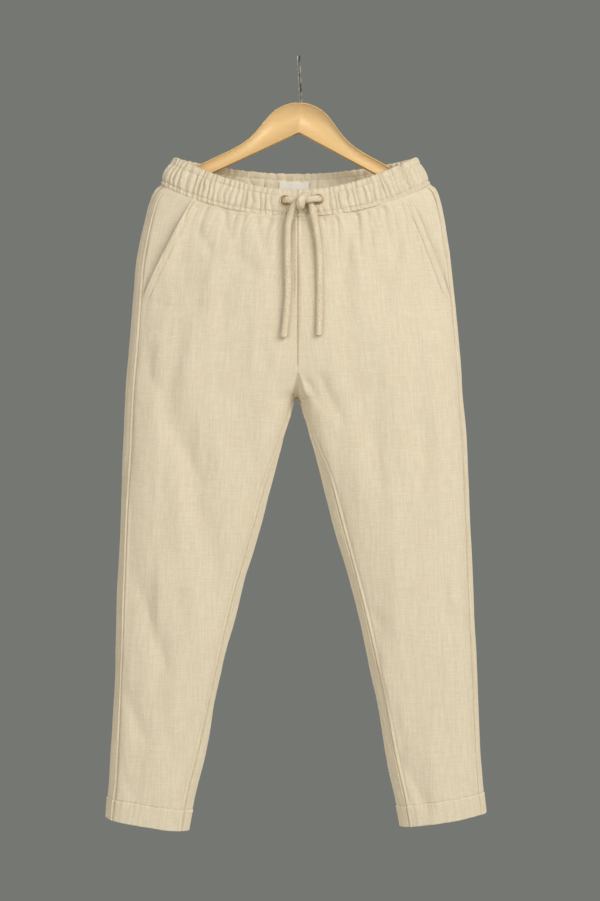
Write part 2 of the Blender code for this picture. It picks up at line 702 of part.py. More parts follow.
def band_piece(name, start, end, gathers):
    """One piece of the casing: gathered outside, plain inside, closed at both joins."""
    turn = band_turns(start, end, gathers)
    height_share = np.array([row[0] for row in BAND_ROWS])[:, None]
    outside = band_outside(turn, height_share)
    inner_share = height_share[INNER_BAND_ROWS]
    inside = band(turn, inner_share) - band_normal(turn, inner_share) * BAND_CLOTH
    for grid in (outside, inside):
        ends = np.zeros(grid.shape[:2], bool)
        ends[:, 0] = True
        trim(grid, ends, np.roll(grid, -1, axis=1))
        trim(grid, ends[:, ::-1], np.roll(grid, 1, axis=1))
        grid[0, :, 2] += HALF_GAP
    rows, columns = outside.shape[:2]
    out = np.arange(rows * columns).reshape(rows, columns)
    low, mid, high = rows * columns + np.arange(3 * columns).reshape(3, columns)
    faces = []
    for column in range(columns - 1):
        after = column + 1
        for row in range(rows - 1):
            faces.append([out[row, column], out[row + 1, column],
                          out[row + 1, after], out[row, after]])
        faces.append([low[column], low[after], mid[after], mid[column]])
        faces.append([mid[column], mid[after], high[after], high[column]])
        faces.append([out[0, column], out[0, after], low[after], low[column]])
        faces.append([out[-1, column], out[-1, after], high[after], high[column]])
    # Each end is a fan of triangles between six outer and three inner points.
    for column in (0, columns - 1):
        o, i1, i2, i3 = out[:, column], low[column], mid[column], high[column]
        faces += [[i1, o[0], o[1]], [i1, o[1], o[2]], [i1, o[2], i2], [i2, o[2], o[3]],
                  [i2, o[3], i3], [i3, o[3], o[4]], [i3, o[4], o[5]]]
    points = np.concatenate([outside.reshape(-1, 3), inside.reshape(-1, 3)])
    return add_object(name, points, faces, "cloth", 60)


def band_spot(x, drop):
    """Centre and outward normal of a place on the waistband's front."""
    spot_turn = math.asin((x - AXIS_X) / BAND_HALF_WIDTH) * 2 / math.pi
    heights = np.linspace(0, 1, SPOT_STEPS)
    column = band_outside(np.full(SPOT_STEPS, spot_turn), heights)
    nearest = np.argmin(np.abs(column[:, 2] + drop))
    share = heights[nearest]
    point = band_outside(np.array([spot_turn]), np.array([share]))[0]
    return point, band_normal(np.array([spot_turn]), np.array([share]))[0]


def eyelet(name, x, drop):
    """Metal ring on the waistband, round a blind hole through its outer layers."""
    centre, normal = band_spot(x, drop)
    first = np.cross(normal, [0.0, 0.0, 1.0])
    first /= np.linalg.norm(first)
    second = np.cross(normal, first)
    middle = centre + normal * (EYELET_WIRE_RADIUS + SEAM_GAP)
    around = np.arange(EYELET_SIDES) * 2 * math.pi / EYELET_SIDES
    section = np.arange(RING_SIDES) * 2 * math.pi / RING_SIDES
    spoke = np.outer(np.cos(around), first) + np.outer(np.sin(around), second)
    reach = EYELET_RING_RADIUS + EYELET_WIRE_RADIUS * np.cos(section)
    lift = EYELET_WIRE_RADIUS * np.sin(section)
    points = middle + spoke[:, None, :] * reach[None, :, None] + normal * lift[None, :, None]
    index = np.arange(EYELET_SIDES * RING_SIDES).reshape(EYELET_SIDES, RING_SIDES)
    ahead = np.roll(index, -1, axis=0)
    corners = (index, ahead, np.roll(ahead, -1, axis=1), np.roll(index, -1, axis=1))
    faces = np.stack(corners, axis=-1).reshape(-1, 4)
    add_object(name, points.reshape(-1, 3), faces.tolist(), "brass")
    return cylinder(name + "_hole", centre - normal * EYELET_HOLE_DEPTH,
                    centre + normal * EYELET_CUTTER_REACH, EYELET_HOLE_RADIUS, HOLE_SIDES)


def waistband():
    left, right = band_joins()
    front = band_piece("waistband_front", left, right, GATHERS_FRONT)
    band_piece("waistband_back", right, left + 4, GATHERS_BACK)
    for name, (x, drop) in zip(("eyelet_left", "eyelet_right"), EYELET_SPOTS):
        cut(front, eyelet(name, x, drop))


def label():
    """Small label inside the centre back of the waistband."""
    half = LABEL_HALF_WIDTH / BAND_TOP_HALF_WIDTH[RIGHT] * 2 / math.pi
    up, across = LABEL_POINTS
    turn = mix(2 - half, 2 + half, np.linspace(0, 1, across))[None, :]
    height_share = mix(LABEL_LOW, LABEL_HIGH, np.linspace(0, 1, up))[:, None]
    normals = band_normal(turn, height_share)
    points = band(turn, height_share) - normals * (BAND_CLOTH + LAYER_GAP)
    wall("back_label", points, -normals * LABEL_CLOTH, "label")


# ------------------------------------------------------------------ drawstring
def strand(name, route):
    """One strand: its route is given from the waistband's surface at the knot's height."""
    surface = band_spot(AXIS_X, KNOT_DROP)[0][1]
    points = [(x, surface - ahead, height - KNOT_DROP) for x, ahead, height in route]
    cord(name, rounded_path(points, POINTS_PER_STEP), CORD_RADIUS, "cord")


# ------------------------------------------------------------------ hanger
def tilted(points):
    """Turn about the hook's crown, so that the right end hangs lower."""
    points = np.array(points)
    turned = points.copy()
    turned[..., 0] = points[..., 0] * math.cos(HANGER_TILT) + points[..., 2] * math.sin(HANGER_TILT)
    turned[..., 2] = points[..., 2] * math.cos(HANGER_TILT) - points[..., 0] * math.sin(HANGER_TILT)
    return turned


def hanger_wood():
    """Loft of eight-cornered sections from one end of the wood to the other."""
    half = HANGER_SECTIONS + [HANGER_HALF_LENGTH - row[0] for row in HANGER_END[::-1]]
    places = np.array([-place for place in half[::-1]] + [0.0] + half)
    reach = np.abs(places)
    end_places, end_sizes = zip(*HANGER_END)
    size = np.interp(HANGER_HALF_LENGTH - reach, end_places, end_sizes)
    top = along(HANGER_TOP, 1, reach)
    past = np.maximum(reach - HANGER_BOTTOM_ROUND, 0)
    near = np.minimum(reach, HANGER_BOTTOM_ROUND)
    bottom = HANGER_BOTTOM_DROP + HANGER_BOTTOM_SLOPE * (past + near ** 2 / HANGER_BOTTOM_ROUND / 2)
    middle, half_height = (top + bottom) / 2, (bottom - top) / 2 * size
    half_thick = HANGER_THICKNESS / 2 * size
    bevel = HANGER_BEVEL * size
    corners = [(-1, 1, 0, 1), (1, 1, 0, 1), (1, 1, 1, 0), (1, -1, 1, 0),
               (1, -1, 0, 1), (-1, -1, 0, 1), (-1, -1, 1, 0), (-1, 1, 1, 0)]
    rings = []
    for y_sign, z_sign, y_full, z_full in corners:
        y = y_sign * (half_thick - (0 if y_full else 1) * bevel)
        z = -middle + z_sign * (half_height - (0 if z_full else 1) * bevel)
        rings.append(np.stack([places, y, z], axis=-1))
    points = np.stack(rings, axis=1)
    stations = len(places)
    index = np.arange(stations * 8).reshape(stations, 8)
    faces = []
    for station in range(stations - 1):
        for corner in range(8):
            after = (corner + 1) % 8
            faces.append([index[station, corner], index[station, after],
                          index[station + 1, after], index[station + 1, corner]])
    faces.append(list(index[0]))
    faces.append(list(index[-1][::-1]))
    wood = add_object("hanger_wood", tilted(points.reshape(-1, 3)), faces, "wood", 30)
    bore_end = HANGER_TOP[0][1] + STEM_BORE_DEPTH
    bore = cylinder("stem_bore", tilted([0, 0, -bore_end]), tilted([0, 0, -BORE_START_DROP]),
                    STEM_BORE_RADIUS, BORE_SIDES)
    cut(wood, bore)


def hanger_hook():
    """Round wire: a straight stem out of the wood, then back, over the rail and down in front."""
    middle = HOOK_WIRE_RADIUS - HOOK_BEND_RADIUS
    stem_end = HANGER_TOP[0][1] + STEM_BORE_DEPTH - STEM_END_GAP
    path = [(0.0, 0.0, -drop) for drop in [stem_end] + STEM_DROPS]
    path += [(0.0, behind, -drop) for behind, drop in HOOK_NECK]
    first, last, step = HOOK_BEND_ANGLES
    for angle in np.radians(np.arange(first, last + 1, step)):
        path.append((0.0, HOOK_BEND_RADIUS * math.cos(angle),
                     middle + HOOK_BEND_RADIUS * math.sin(angle)))
    path += [(0.0, -HOOK_BEND_RADIUS, -drop) for drop in (HOOK_TIP_START, HOOK_TIP_DROP)]
    cord("hanger_hook", tilted(path), HOOK_WIRE_RADIUS, "steel")


def main():
    for thing in list(bpy.data.objects):
        bpy.data.objects.remove(thing)
    for side, word in ((LEFT, "left"), (RIGHT, "right")):
        panel("front_panel_" + word, side, True)
        panel("back_panel_" + word, side, False)
        pocket("pocket_" + word, side)
    waistband()
    label()
    strand("drawstring_left", STRAND_FROM_LEFT)
    strand("drawstring_right", STRAND_FROM_RIGHT)
    hanger_wood()
    hanger_hook()


main()
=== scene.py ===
import math

import bpy
import numpy as np
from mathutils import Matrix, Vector


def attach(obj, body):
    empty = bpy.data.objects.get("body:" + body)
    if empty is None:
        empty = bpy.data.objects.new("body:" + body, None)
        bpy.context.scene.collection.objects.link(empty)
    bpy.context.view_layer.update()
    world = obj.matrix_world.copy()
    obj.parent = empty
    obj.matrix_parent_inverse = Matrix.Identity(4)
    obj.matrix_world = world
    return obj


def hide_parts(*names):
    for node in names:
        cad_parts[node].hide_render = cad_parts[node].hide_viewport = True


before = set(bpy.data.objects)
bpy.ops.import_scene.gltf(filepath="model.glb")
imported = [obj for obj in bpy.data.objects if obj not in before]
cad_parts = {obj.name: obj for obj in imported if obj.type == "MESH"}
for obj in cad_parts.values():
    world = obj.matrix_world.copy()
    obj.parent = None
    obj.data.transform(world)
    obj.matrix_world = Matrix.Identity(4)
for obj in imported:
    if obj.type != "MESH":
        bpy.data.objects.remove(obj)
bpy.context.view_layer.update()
print("stage: frame loaded")

# Cotton trousers hung by the waist on a wooden hanger. Metres, apart from tables inside mm();
# the origin is the crown of the hanger's hook, +Z up, the front faces -Y, left and right as
# seen from the front. A drop is a distance below the origin.

left, right = 0, 1
sideSign = (-1, 1)
bothSides = ((left, "Left"), (right, "Right"))


# small helpers
def mm(table):
    return np.array(table) / 1000


def mix(low, high, share):
    return low + (high - low) * share


def smooth(value):
    # 3 t t - 2 t t t, held at 0 below 0 and at 1 above 1
    value = np.clip(value, 0.0, 1.0)
    return value * value * (3.0 - 2.0 * value)


def bell(distance, width):
    # 1 at the middle, then e to the minus (distance / width) squared
    return np.exp(-(distance / width) ** 2)


def unit(vector):
    return vector / np.linalg.norm(vector, axis=-1, keepdims=True)


def along(table, column, place):
    # monotone cubic through one column of a table: harmonic-mean slopes, held past its ends
    knots, values = (np.array([row[k] for row in table]) for k in (0, column))
    steps = np.diff(knots)
    rises = np.diff(values) / steps
    before, after = rises[:-1], rises[1:]
    sameWay = before * after > 0
    inner = np.where(sameWay, 2 * before * after / np.where(sameWay, before + after, 1), 0)
    slopes = np.concatenate([rises[:1], inner, rises[-1:]])
    place = np.clip(place, knots[0], knots[-1])
    cell = np.clip(np.searchsorted(knots, place) - 1, 0, len(steps) - 1)
    step = steps[cell]
    t = (place - knots[cell]) / step
    return ((1 + 2 * t) * (1 - t) ** 2 * values[cell] + t * (1 - t) ** 2 * step * slopes[cell]
            + t * t * (3 - 2 * t) * values[cell + 1] + t * t * (t - 1) * step * slopes[cell + 1])


def softNoise(a, b, seed, cells=128):
    # random values on a whole-number lattice, joined by a smooth step both ways, -1 to 1
    values = np.random.default_rng(seed).uniform(-1, 1, (cells, cells))
    a, b = np.broadcast_arrays(a, b)
    i, j = np.floor(a).astype(int), np.floor(b).astype(int)
    s, t = smooth(a - i), smooth(b - j)
    low, high = (mix(values[i % cells, k % cells], values[(i + 1) % cells, k % cells], s) for k in (j, j + 1))
    return mix(low, high, t)


def runAlong(points, axis=0):
    # distance from the start, along one axis of a grid of points
    steps = np.linalg.norm(np.diff(points, axis=axis), axis=-1)
    return np.cumsum(np.insert(steps, 0, 0.0, axis=axis), axis=axis)


def readRows(places, runs, values):
    # reads values at places of each row, where runs says how far along its row each value lies
    offset = np.arange(len(runs))[:, None] * 10.0
    values = np.broadcast_to(values, runs.shape).ravel()
    return np.interp((places + offset).ravel(), (runs + offset).ravel(), values).reshape(places.shape)


def clothMap(across, down):
    # cloth coordinates from two arrays of distances
    return np.stack(np.broadcast_arrays(across, down), axis=-1)


def roundedPath(points, perStep):
    # Catmull-Rom curve through the points, read perStep times between each pair
    points = np.array(points, float)
    ends = np.concatenate([[2 * points[0] - points[1]], points, [2 * points[-1] - points[-2]]])
    t = (np.arange(perStep) / perStep)[None, :, None]
    p0, p1, p2, p3 = (ends[k:len(ends) - 3 + k, None, :] for k in range(4))
    path = 0.5 * (2 * p1 + (p2 - p0) * t + (2 * p0 - 5 * p1 + 4 * p2 - p3) * t * t
                  + (3 * p1 - p0 - 3 * p2 + p3) * t ** 3)
    return np.concatenate([path.reshape(-1, 3), points[-1:]])


def evenPath(points, step):
    # the same curve read at equal distances
    run = runAlong(points)
    at = np.linspace(0, run[-1], max(int(round(run[-1] / step)), 2) + 1)
    return np.stack([np.interp(at, run, points[:, k]) for k in range(3)], axis=1), at


def carriedFrames(path):
    # two cross directions at each point, carried on with the least turning
    tangent = unit(np.gradient(path, axis=0))
    helper = [0.0, 1.0, 0.0] if abs(tangent[0][1]) < 0.8 else [0.0, 0.0, 1.0]
    carried = np.cross(tangent[0], helper)
    first = np.zeros_like(path)
    for k in range(len(path)):
        carried = unit(carried - tangent[k] * (carried @ tangent[k]))
        first[k] = carried
    return first, np.cross(tangent, first)


def gridQuads(rowCount, columnCount, closeRows=False, closeColumns=False):
    # the four corners of each cell of a grid, and of the cells that close it
    index = np.arange(rowCount * columnCount).reshape(rowCount, columnCount)
    if closeRows:
        index = np.concatenate([index, index[:1]])
    if closeColumns:
        index = np.concatenate([index, index[:, :1]], axis=1)
    return np.stack((index[:-1, :-1], index[1:, :-1], index[1:, 1:], index[:-1, 1:]), axis=-1).reshape(-1, 4)


def endCaps(ringCount, around):
    # the polygons that close the first and last ring of a tube
    return [np.arange(around), np.arange(around)[::-1] + (ringCount - 1) * around]


def facingOut(points, outward, faces):
    # turns every face round when the faces look against the outward directions
    flat, out = points.reshape(-1, 3), outward.reshape(-1, 3)
    a, b, c = flat[faces[:, 0]], flat[faces[:, 1]], flat[faces[:, 3]]
    looks = (np.cross(b - a, c - a) * out[faces[:, 0]]).sum()
    return faces if looks > 0 else faces[:, ::-1]


def addMesh(name, points, quads, material, uv=None, caps=()):
    mesh = bpy.data.meshes.new(name)
    points = np.asarray(points, float).reshape(-1, 3)
    corners = np.concatenate([quads.ravel(), *caps]).astype(np.int32)
    sizes = np.array([4] * len(quads) + [len(cap) for cap in caps])
    mesh.vertices.add(len(points))
    mesh.vertices.foreach_set("co", points.astype(np.float32).ravel())
    mesh.loops.add(len(corners))
    mesh.loops.foreach_set("vertex_index", corners)
    mesh.polygons.add(len(sizes))
    mesh.polygons.foreach_set("loop_start", (np.cumsum(sizes) - sizes).astype(np.int32))
    mesh.update(calc_edges=True)
    if uv is not None:
        flat = np.asarray(uv, float).reshape(-1, 2)[corners]
        mesh.uv_layers.new(name="clothMap").data.foreach_set("uv", flat.astype(np.float32).ravel())
    mesh.validate()
    mesh.shade_smooth()
    mesh.materials.append(material)
    piece = bpy.data.objects.new(name, mesh)
    bpy.context.collection.objects.link(piece)
    return piece


def addSheet(name, points, outward, material, uv, thickness, closeRows=False):
    # a grid of points as cloth: faces outward, and the thickness goes inward
    quads = facingOut(points, outward, gridQuads(*points.shape[:2], closeRows=closeRows))
    piece = addMesh(name, points, quads, material, uv)
    wall = piece.modifiers.new("thickness", "SOLIDIFY")
    wall.thickness = thickness
    wall.offset = -1
    wall.use_even_offset = False
    wall.use_rim = True
    return piece


def place(piece, slotName, *nodes):
    # every piece rides on the one body; nodes are the solids that it stands for
    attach(piece, "root")
    if nodes:
        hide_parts(*nodes)
    return piece


# camera
view = {"place": (-0.0015, -2.60, -0.582), "frameHeight": 1.337, "filmHeight": 36.0}
camera = bpy.data.objects.new("camera", bpy.data.cameras.new("camera"))
bpy.context.collection.objects.link(camera)
camera.data.sensor_fit = "VERTICAL"
camera.data.sensor_height = view["filmHeight"]
camera.data.lens = view["filmHeight"] * abs(view["place"][1]) / view["frameHeight"]
camera.location = view["place"]
camera.rotation_euler = (math.radians(90), 0, 0)
camera.data.clip_start, camera.data.clip_end = 0.05, 60
bpy.context.scene.camera = camera


# materials
def feed(tree, made, inputs):
    # each input is a number, a colour, or the socket that it comes from
    for key, value in inputs.items():
        socket = made.inputs[key]
        if isinstance(value, bpy.types.NodeSocket):
            tree.links.new(value, socket)
        else:
            socket.default_value = (*value, 1.0) if socket.type == "RGBA" else value


def node(tree, kind, inputs=None, **settings):
    made = tree.nodes.new(kind)
    for key, value in settings.items():
        setattr(made, key, value)
    feed(tree, made, inputs or {})
    return made


def calc(tree, operation, *values, clamp=False):
    inputs = dict(enumerate(values))
    return node(tree, "ShaderNodeMath", inputs, operation=operation, use_clamp=clamp).outputs[0]


def scaled(tree, first, second):
    return calc(tree, "MULTIPLY", first, second)


def blended(tree, factor, first, second, blend="MIX"):
    return node(tree, "ShaderNodeMix", {0: factor, 6: first, 7: second}, data_type="RGBA", blend_type=blend,
                clamp_factor=True).outputs[2]


def noise(tree, vector, scale=1.0, detail=2.0, roughness=0.5, dimensions="3D"):
    inputs = {"Vector": vector, "Scale": scale, "Detail": detail, "Roughness": roughness}
    return node(tree, "ShaderNodeTexNoise", inputs, noise_dimensions=dimensions).outputs["Fac"]


def stretched(tree, vector, scale):
    return node(tree, "ShaderNodeMapping", {"Vector": vector, "Scale": scale}).outputs[0]


def between(tree, value, low, high):
    return node(tree, "ShaderNodeMapRange", {"Value": value, "From Min": low, "From Max": high},
                clamp=True, interpolation_type="SMOOTHSTEP").outputs[0]


def bumped(tree, height, strength, distance):
    inputs = {"Height": height, "Strength": strength, "Distance": distance}
    return node(tree, "ShaderNodeBump", inputs).outputs[0]


def grouped(tree, group, **inputs):
    return node(tree, "ShaderNodeGroup", inputs, node_tree=group).outputs


def newGroup(name, inputs, outputs):
    # inputs are names with their first values; the one without a value is a vector
    tree = bpy.data.node_groups.new(name, "ShaderNodeTree")
    for word, value in inputs.items():
        kind = "NodeSocketVector" if value is None else "NodeSocketFloat"
        socket = tree.interface.new_socket(name=word, in_out="INPUT", socket_type=kind)
        if value is not None:
            socket.default_value = value
    for word in outputs:
        tree.interface.new_socket(name=word, in_out="OUTPUT", socket_type="NodeSocketFloat")
    source = node(tree, "NodeGroupInput", location=(-900, 0))
    return tree, source.outputs, node(tree, "NodeGroupOutput", location=(900, 0))


def makeWeaveGroup():
    # Plain weave. Two sets of threads cross; at each crossing the one whose cosine product is
    # positive lies on top. Thread widths drift with a stretched noise, which makes the slubs.
    tree, given, sink = newGroup("plainWeave", {"Vector": None, "Threads": 1400.0, "Slub": 1.0},
                                 ("Height", "Slubs", "Mottle"))
    across, down, _ = node(tree, "ShaderNodeSeparateXYZ", {0: given["Vector"]}).outputs

    def streaks(alongU, alongV, low, high):
        # flat noise, stretched by its two scales
        inputs = {0: scaled(tree, across, alongU), 1: scaled(tree, down, alongV)}
        spot = node(tree, "ShaderNodeCombineXYZ", inputs).outputs[0]
        return between(tree, noise(tree, spot, 1.0, 1.0, 0.4, "2D"), low, high)

    def wave(run):
        return calc(tree, "COSINE", scaled(tree, scaled(tree, run, given["Threads"]), math.pi))

    weftSlub, warpSlub = streaks(120.0, 1500.0, 0.58, 0.76), streaks(1300.0, 85.0, 0.60, 0.78)
    slubs = scaled(tree, calc(tree, "MAXIMUM", weftSlub, scaled(tree, warpSlub, 0.8)), given["Slub"])
    warp, weft = wave(across), wave(down)
    onTop = calc(tree, "MULTIPLY_ADD", scaled(tree, warp, weft), 0.5, 0.5)
    warpHeight = scaled(tree, calc(tree, "ABSOLUTE", warp), onTop)
    weftHeight = scaled(tree, calc(tree, "ABSOLUTE", weft), calc(tree, "SUBTRACT", 1.0, onTop))
    threadHeight = calc(tree, "ADD", warpHeight, weftHeight)
    # mottle: streaks down the cloth, streaks across it and a fine grain
    grain = scaled(tree, streaks(900.0, 620.0, 0.25, 0.75), 0.28)
    grain = calc(tree, "MULTIPLY_ADD", streaks(30.0, 520.0, 0.30, 0.72), 0.30, grain)
    mottle = calc(tree, "MULTIPLY_ADD", streaks(420.0, 26.0, 0.30, 0.72), 0.42, grain)
    height = calc(tree, "ADD", threadHeight, scaled(tree, slubs, 1.1))
    feed(tree, sink, {"Height": height, "Slubs": slubs, "Mottle": mottle})
    return tree


def makeGrainGroup():
    # Wood grain: rings from a noise stretched along the wood, with fine pores over them.
    tree, given, sink = newGroup("woodGrain", {"Vector": None, "Rings": 9.0}, ("Bands", "Pores"))
    cloud = noise(tree, stretched(tree, given["Vector"], (5.0, 60.0, 60.0)), detail=3.0)
    rings = calc(tree, "SINE", scaled(tree, scaled(tree, cloud, given["Rings"]), 2 * math.pi))
    pores = noise(tree, stretched(tree, given["Vector"], (40.0, 1400.0, 1400.0)))
    feed(tree, sink, {"Bands": calc(tree, "MULTIPLY_ADD", rings, 0.5, 0.5), "Pores": pores})
    return tree


def makeWearGroup():
    # Soft blotches on metal: a noise, stretched into a mask between two limits.
    tree, given, sink = newGroup("metalWear", {"Vector": None, "Scale": 300.0}, ("Mask", "Scratches"))
    mask = between(tree, noise(tree, given["Vector"], given["Scale"], 4.0), 0.42, 0.70)
    scratches = noise(tree, stretched(tree, given["Vector"], (2500.0, 2500.0, 120.0)))
    feed(tree, sink, {"Mask": mask, "Scratches": scratches})
    return tree


weaveGroup, grainGroup, wearGroup = makeWeaveGroup(), makeGrainGroup(), makeWearGroup()


def startMaterial(name):
    material = bpy.data.materials.new(name)
    material.use_nodes = True
    return material, material.node_tree, material.node_tree.nodes["Principled BSDF"]


def clothMaterial(name, base, slubColour, shade, threads, slub, bump, roughness=0.88, sheen=0.06):
    # mottled cotton: slubs are lighter, and the hollows between threads are darkened with painted shade
    material, tree, shader = startMaterial(name)
    uv = node(tree, "ShaderNodeUVMap", uv_map="clothMap").outputs[0]
    height, slubs, mottle = grouped(tree, weaveGroup, Vector=uv, Threads=threads, Slub=slub)
    # the shade colour is a darker mottle tone of the cloth, mixed in at random by the mottle noise
    blotch = calc(tree, "MULTIPLY_ADD", mottle, 3.2, -1.1, clamp=True)
    colour = blended(tree, scaled(tree, slubs, 0.42), blended(tree, blotch, shade, base), slubColour)
    # painted shade: the base colour is darkened where the weave is low, in the hollows between threads
    dark = calc(tree, "MULTIPLY_ADD", height, 0.16, 0.87, clamp=True)
    paintedThreadShade = node(tree, "ShaderNodeCombineColor", {0: dark, 1: dark, 2: dark}).outputs[0]
    feed(tree, shader, {
        "Base Color": blended(tree, 1.0, colour, paintedThreadShade, "MULTIPLY"), "Roughness": roughness,
        "Sheen Weight": sheen, "Sheen Roughness": 0.45, "Sheen Tint": (1.0, 0.95, 0.86),
        "Specular IOR Level": 0.12, "Normal": bumped(tree, height, bump, 0.0004)})
    return material


def metalMaterial(name, bright, dull, roughness, scale):
    # worn patches are duller in colour and rougher
    material, tree, shader = startMaterial(name)
    spot = node(tree, "ShaderNodeTexCoord").outputs["Object"]
    mask, scratches = grouped(tree, wearGroup, Vector=spot, Scale=scale)
    feed(tree, shader, {
        "Base Color": blended(tree, mask, bright, dull), "Metallic": 1.0,
        "Roughness": calc(tree, "MULTIPLY_ADD", mask, 0.16, roughness),
        "Normal": bumped(tree, scratches, 0.015, 0.0001)})
    return material


def woodMaterial(name, light, dark, poreColour, rightColour, rimColour):
    # bands between two colours, with darker pores, right half and rims
    material, tree, shader = startMaterial(name)
    spot = node(tree, "ShaderNodeTexCoord").outputs["Object"]
    bands, pores = grouped(tree, grainGroup, Vector=spot, Rings=7.0)
    openPores = calc(tree, "MULTIPLY_ADD", pores, 2.6, -1.15, clamp=True)
    colour = blended(tree, scaled(tree, openPores, 0.35), blended(tree, bands, light, dark), poreColour)
    # two halves glued at the middle, and bevelled edges coloured darker
    x = node(tree, "ShaderNodeSeparateXYZ", {0: spot}).outputs[0]
    onRight = calc(tree, "GREATER_THAN", x, 0.0022)
    colour = blended(tree, scaled(tree, onRight, 0.15), colour, rightColour)
    rim = node(tree, "ShaderNodeAttribute", attribute_name="rim").outputs["Fac"]
    colour = blended(tree, scaled(tree, rim, 0.40), colour, rimColour)
    feed(tree, shader, {"Base Color": colour, "Roughness": 0.42, "Coat Weight": 0.12, "Coat Roughness": 0.22,
                        "Normal": bumped(tree, pores, 0.12, 0.0003)})
    return material


# Cloth: main, slub and darker mottle colour, threads a metre, slubs, bump, roughness, sheen.
# Metal: bright and dull colour, roughness, wear scale.
# Wood: both band colours, pores, right half, rims.
materials = {
    "cloth": clothMaterial("creamCloth", (0.748, 0.668, 0.508), (0.80, 0.728, 0.585), (0.702, 0.616, 0.455),
                           1400.0, 1.0, 0.5),
    "thread": clothMaterial("sewingThread", (0.72, 0.62, 0.45), (0.80, 0.71, 0.55), (0.68, 0.58, 0.41),
                            4000.0, 0.0, 0.2),
    "cord": clothMaterial("braidedCotton", (0.755, 0.660, 0.495), (0.82, 0.735, 0.59), (0.70, 0.60, 0.43),
                          1000.0, 0.3, 0.7),
    "label": clothMaterial("labelTape", (0.80, 0.785, 0.71), (0.82, 0.80, 0.73), (0.77, 0.75, 0.67),
                           3200.0, 0.0, 0.25, 0.6, 0.0),
    "brass": metalMaterial("satinBrass", (0.62, 0.47, 0.24), (0.44, 0.32, 0.155), 0.34, 320.0),
    "steel": metalMaterial("satinSteel", (0.20, 0.19, 0.158), (0.165, 0.156, 0.128), 0.50, 120.0),
    "wood": woodMaterial("varnishedWood", (0.752, 0.507, 0.228), (0.768, 0.524, 0.240),
                         (0.66, 0.41, 0.16), (0.66, 0.43, 0.18), (0.52, 0.27, 0.08)),
}
print("stage: materials made")

# the trousers' surface
garment = {
    "axisX": -0.0052,               # middle of the garment
    # outer silhouette: drop, half width left and right of the axis
    "sideOutline": mm([
        (187, 201.8, 196.5), (192.5, 210.5, 204.5), (208, 219.2, 211.2), (233, 226.5, 217), (269, 234, 223),
        (304, 239.5, 228.5), (358, 243.5, 234.2), (429, 248.2, 240.8), (500, 254.1, 245.5), (579, 257.5, 250.8),
        (674, 263.5, 255), (769, 267.2, 259), (911, 272.2, 265.5), (1054, 278.6, 272.5), (1127, 285.6, 279)]),
    # inner silhouette of each leg: drop, distance left and right of the axis
    "innerOutline": mm([
        (504, 0, 0), (507, 2.8, 2.4), (511, 4.2, 4), (516.3, 5.6, 5.6), (530, 9, 8.8), (579, 22.4, 22.2),
        (626, 36.4, 36.4), (674, 49.7, 49), (745, 70.5, 68), (816, 89.5, 86), (887, 106.2, 102.5),
        (959, 122.4, 118.5), (1030, 137.3, 131), (1101, 154.8, 146.8), (1146, 162.8, 155.2)]),
    "waistDropSide": 0.1870, "waistDropFront": 0.2404, "waistDropBack": 0.2080,
    "waistDipPower": 0.8,           # below 1 the front waist seam drops sooner from the sides
    "thighDropSide": 0.4850, "crotchDrop": 0.5040,
    "hemDropOuter": (1.1240, 1.1172), "hemDropInner": (1.1432, 1.1368),
    # half depth by station; station 0 is the waist seam, 1 the crotch, 2 the hem
    "halfDepth": [(0.00, 0.0440), (0.12, 0.0475), (0.50, 0.0480),
                  (1.00, 0.0430), (1.40, 0.0370), (2.00, 0.0300)],
    "riseStart": 0.575,             # station where the centre seams start to curve under
    "sideSeamInboard": (0.0130, 0.0070), "inseamInboard": (0.0090, 0.0120), "inseamRoll": (0.995, 1.18),
    "outerPower": 2.5,              # how flat the faces are: 2 is an ellipse
    "crotchPower": 8.0,             # the front panels turn in sharply above the crotch
    "legPower": 3.0, "crotchFade": 0.28,
    # the gap below the crotch starts lower on the right: slope, reach, stations
    "forkSkew": (0.75, 0.011, 0.05),
}

# The hollow where the front parts above the crotch: station where it starts, left and right
# width, width at its tip and where it ends, depth, how its depth grows, its edge, stations in
# which it runs out below the crotch, and the depth that the front keeps.
fork = {"start": 0.855, "width": (0.0075, 0.0130), "tip": 0.0006, "endWidth": 0.0050, "depth": 0.0105,
        "growth": 0.8, "edge": 0.30, "runOut": 0.075, "kept": 0.003}

# The slant pocket: distance of its top from the axis, station of its end; and its bag: inner
# edge, end, how its lower corner is rounded off, and how far it lies behind the front panel.
pocket = {"topFromAxis": (0.1552, 0.1660), "end": 0.575, "bagFromAxis": 0.133, "bagEnd": 0.955,
          "bagRound": (0.075, 0.62, 0.34), "behind": 0.0042, "thickness": 0.0007}

